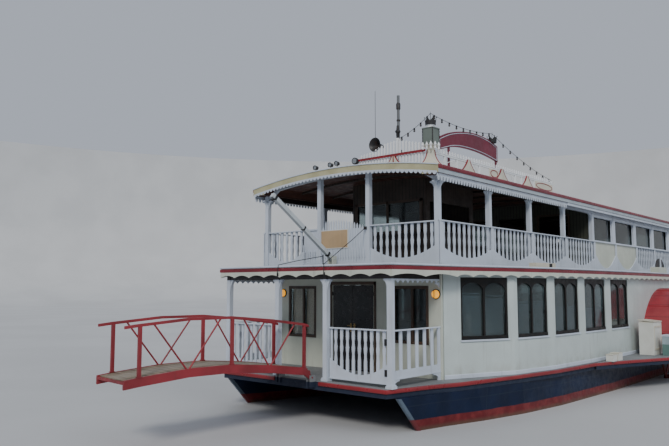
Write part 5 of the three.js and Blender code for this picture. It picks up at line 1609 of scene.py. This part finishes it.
def plank_tones(shade, tone):
    grain = shade.patches((4, 8, (9, 0.6, 1)), 0.38, 0.68)
    tone = shade.mix(grain, tone, (0.30, 0.24, 0.17))
    across = shade.math("ABSOLUTE", shade.math("ADD", shade.y, shade.product(shade.x, 0.093)))
    worn = shade.product(shade.ramp(across, 0.36, 0.12), 0.5)
    return shade.mix(worn, tone, (0.33, 0.30, 0.25))


plank_timber = paint(
    "plank_timber", (0.16, 0.115, 0.075), 0.75, 0.3, 0.4, (0.06, 0.05, 0.04), 0.4, 60, plank_tones)
planks.build("gangway_planks", plank_timber, "gangway", "deck_paint")
RAIL_LINES, RAIL_POSTS = (-0.507, 0.507), (0.165, 1.97, 3.87)
rods = Solid()
for y in RAIL_LINES:
    for x0, x1 in zip(RAIL_POSTS, RAIL_POSTS[1:]):
        middle = (x0 + x1) / 2
        for x in (x0 + 0.26, x1 - 0.26):
            foot = middle + (0.03 if x > middle else -0.03)
            head_end = on_gangway(x, y, gang_height(x) + 0.895)
            rods.tube([head_end, on_gangway(foot, y, gang_height(foot) + 0.020)], 0.017)
rods.build("gangway_rods", gangway_red, "gangway", "red_paint", 60)
tips = Solid()
for y in RAIL_LINES:
    for x in RAIL_POSTS:
        levels = [gang_height(x) + h for h in (0.026, 0.040)]
        tips.loft([[on_gangway(x + i * 0.042, y + j * 0.037, z) for i, j in CORNERS] for z in levels])
tips.build("gangway_post_collars", gangway_red, "gangway", "red_paint")


# Gangway boom: a white painted square spar heeled on the front ledge with iron straps, a ring at its
# head, and the two thin hauling lines made fast to the front of the boat.
boom_white = paint("boom_white", (0.58, 0.63, 0.66), 0.42, 0.10, 0.35, (0.20, 0.19, 0.17), 0.12, 50)
coat(boom_white, "gangway_boom")
FOOT, TIP = Vector((-1.375, -0.2, 3.495)), Vector((0.597, -0.2, 4.824))
spar = (TIP - FOOT).normalized()
up = spar.cross(Vector((0, 1, 0))).normalized()


def on_boom(along, out, across):
    """A place given along the spar, up from its middle and across to port."""
    return FOOT + spar * along + up * out + Vector((0, 1, 0)) * across


LENGTH, STRAP_HALF, EYE_RADIUS = (TIP - FOOT).length, 0.049, 0.032
straps = Solid()
for strap in ((0.16, 0.22), (LENGTH - 0.16, LENGTH - 0.10), (1.15, 1.19)):
    straps.loft([[on_boom(along, i * STRAP_HALF, j * STRAP_HALF) for i, j in CORNERS] for along in strap])
eye = []
for a in round_steps(16) + [2 * math.pi]:
    eye.append(on_boom(LENGTH - 0.08 + EYE_RADIUS * math.cos(a), -0.078 + EYE_RADIUS * math.sin(a), 0))
straps.tube(eye, 0.007)
straps.build("boom_straps", iron, "gangway_boom", "dark_paint", 40)
hauling = Solid()
for points in (
    [(-1.49, 0.70, 4.18), (-1.00, 0.76, 3.90), (0.066, 0.84, 3.31), (0.070, 0.84, 3.12)],
    [(-1.30, -0.42, 3.56), (-0.55, -0.47, 3.44), (0.066, -0.52, 3.32), (0.070, -0.55, 3.12)],
):
    hauling.tube(points, 0.008)
rope = paint("tarred_line", (0.028, 0.026, 0.024), 0.8, 0.3, 0.2, bump=0.5, fine=260)
hauling.build("hauling_lines", rope, slot="dark_paint", smooth=60)
cleats = Solid()
for y, z in ((0.84, 3.11), (-0.55, 3.11)):
    cleats.box((0.041, 0.056), (y - 0.012, y + 0.012), (z - 0.04, z + 0.03))
    cleats.tube([(0.070, y, z - 0.045), (0.070, y, z + 0.045)], 0.010)
cleats.box((-1.33, -1.27), (-0.46, -0.38), (3.302, 3.32))
cleats.tube([(-1.30, -0.42, 3.32), (-1.30, -0.42, 3.60)], 0.014)
cleats.box((-1.512, -1.480), (0.665, 0.735), (4.14, 4.21))
cleats.build("line_cleats", iron, slot="dark_paint", smooth=40)


# Stern deck: square softwood posts with balustrades like those of the bow, nailed and painted white, and
# screwed down to the deck on their foot boards.
stern_rail = Solid()
stern_table = []
for a, b, count in (
    ((-24.755, 3.583), (-26.225, 3.583), 8),
    ((-26.303, 3.505), (-26.303, 0.055), 18),
):
    bay(stern_rail, a, b, 0.884, RAIL_TOP, 0.20, 0.45)
    stern_table.append(bay_row(a, b, count, RAIL_TOP, 0.02))
stern_rail.rows(baluster(1.05), stern_table)
stern_rail.mirror()
for x, y in ((-24.7, 3.56), (-24.7, -3.56), (-26.28, 3.56), (-26.28, 0.0), (-26.28, -3.56)):
    stern_rail.tower((x, y), [(HALF_POST, 0.8805), (HALF_POST, 2.02)])
    stern_rail.tower((x, y), [(0.066, 2.02), (0.066, 2.035), (0.052, 2.05), (0.02, 2.06)])
stern_rail.build("stern_rail_boards", white_paint, instead_of=("stern_rail",))
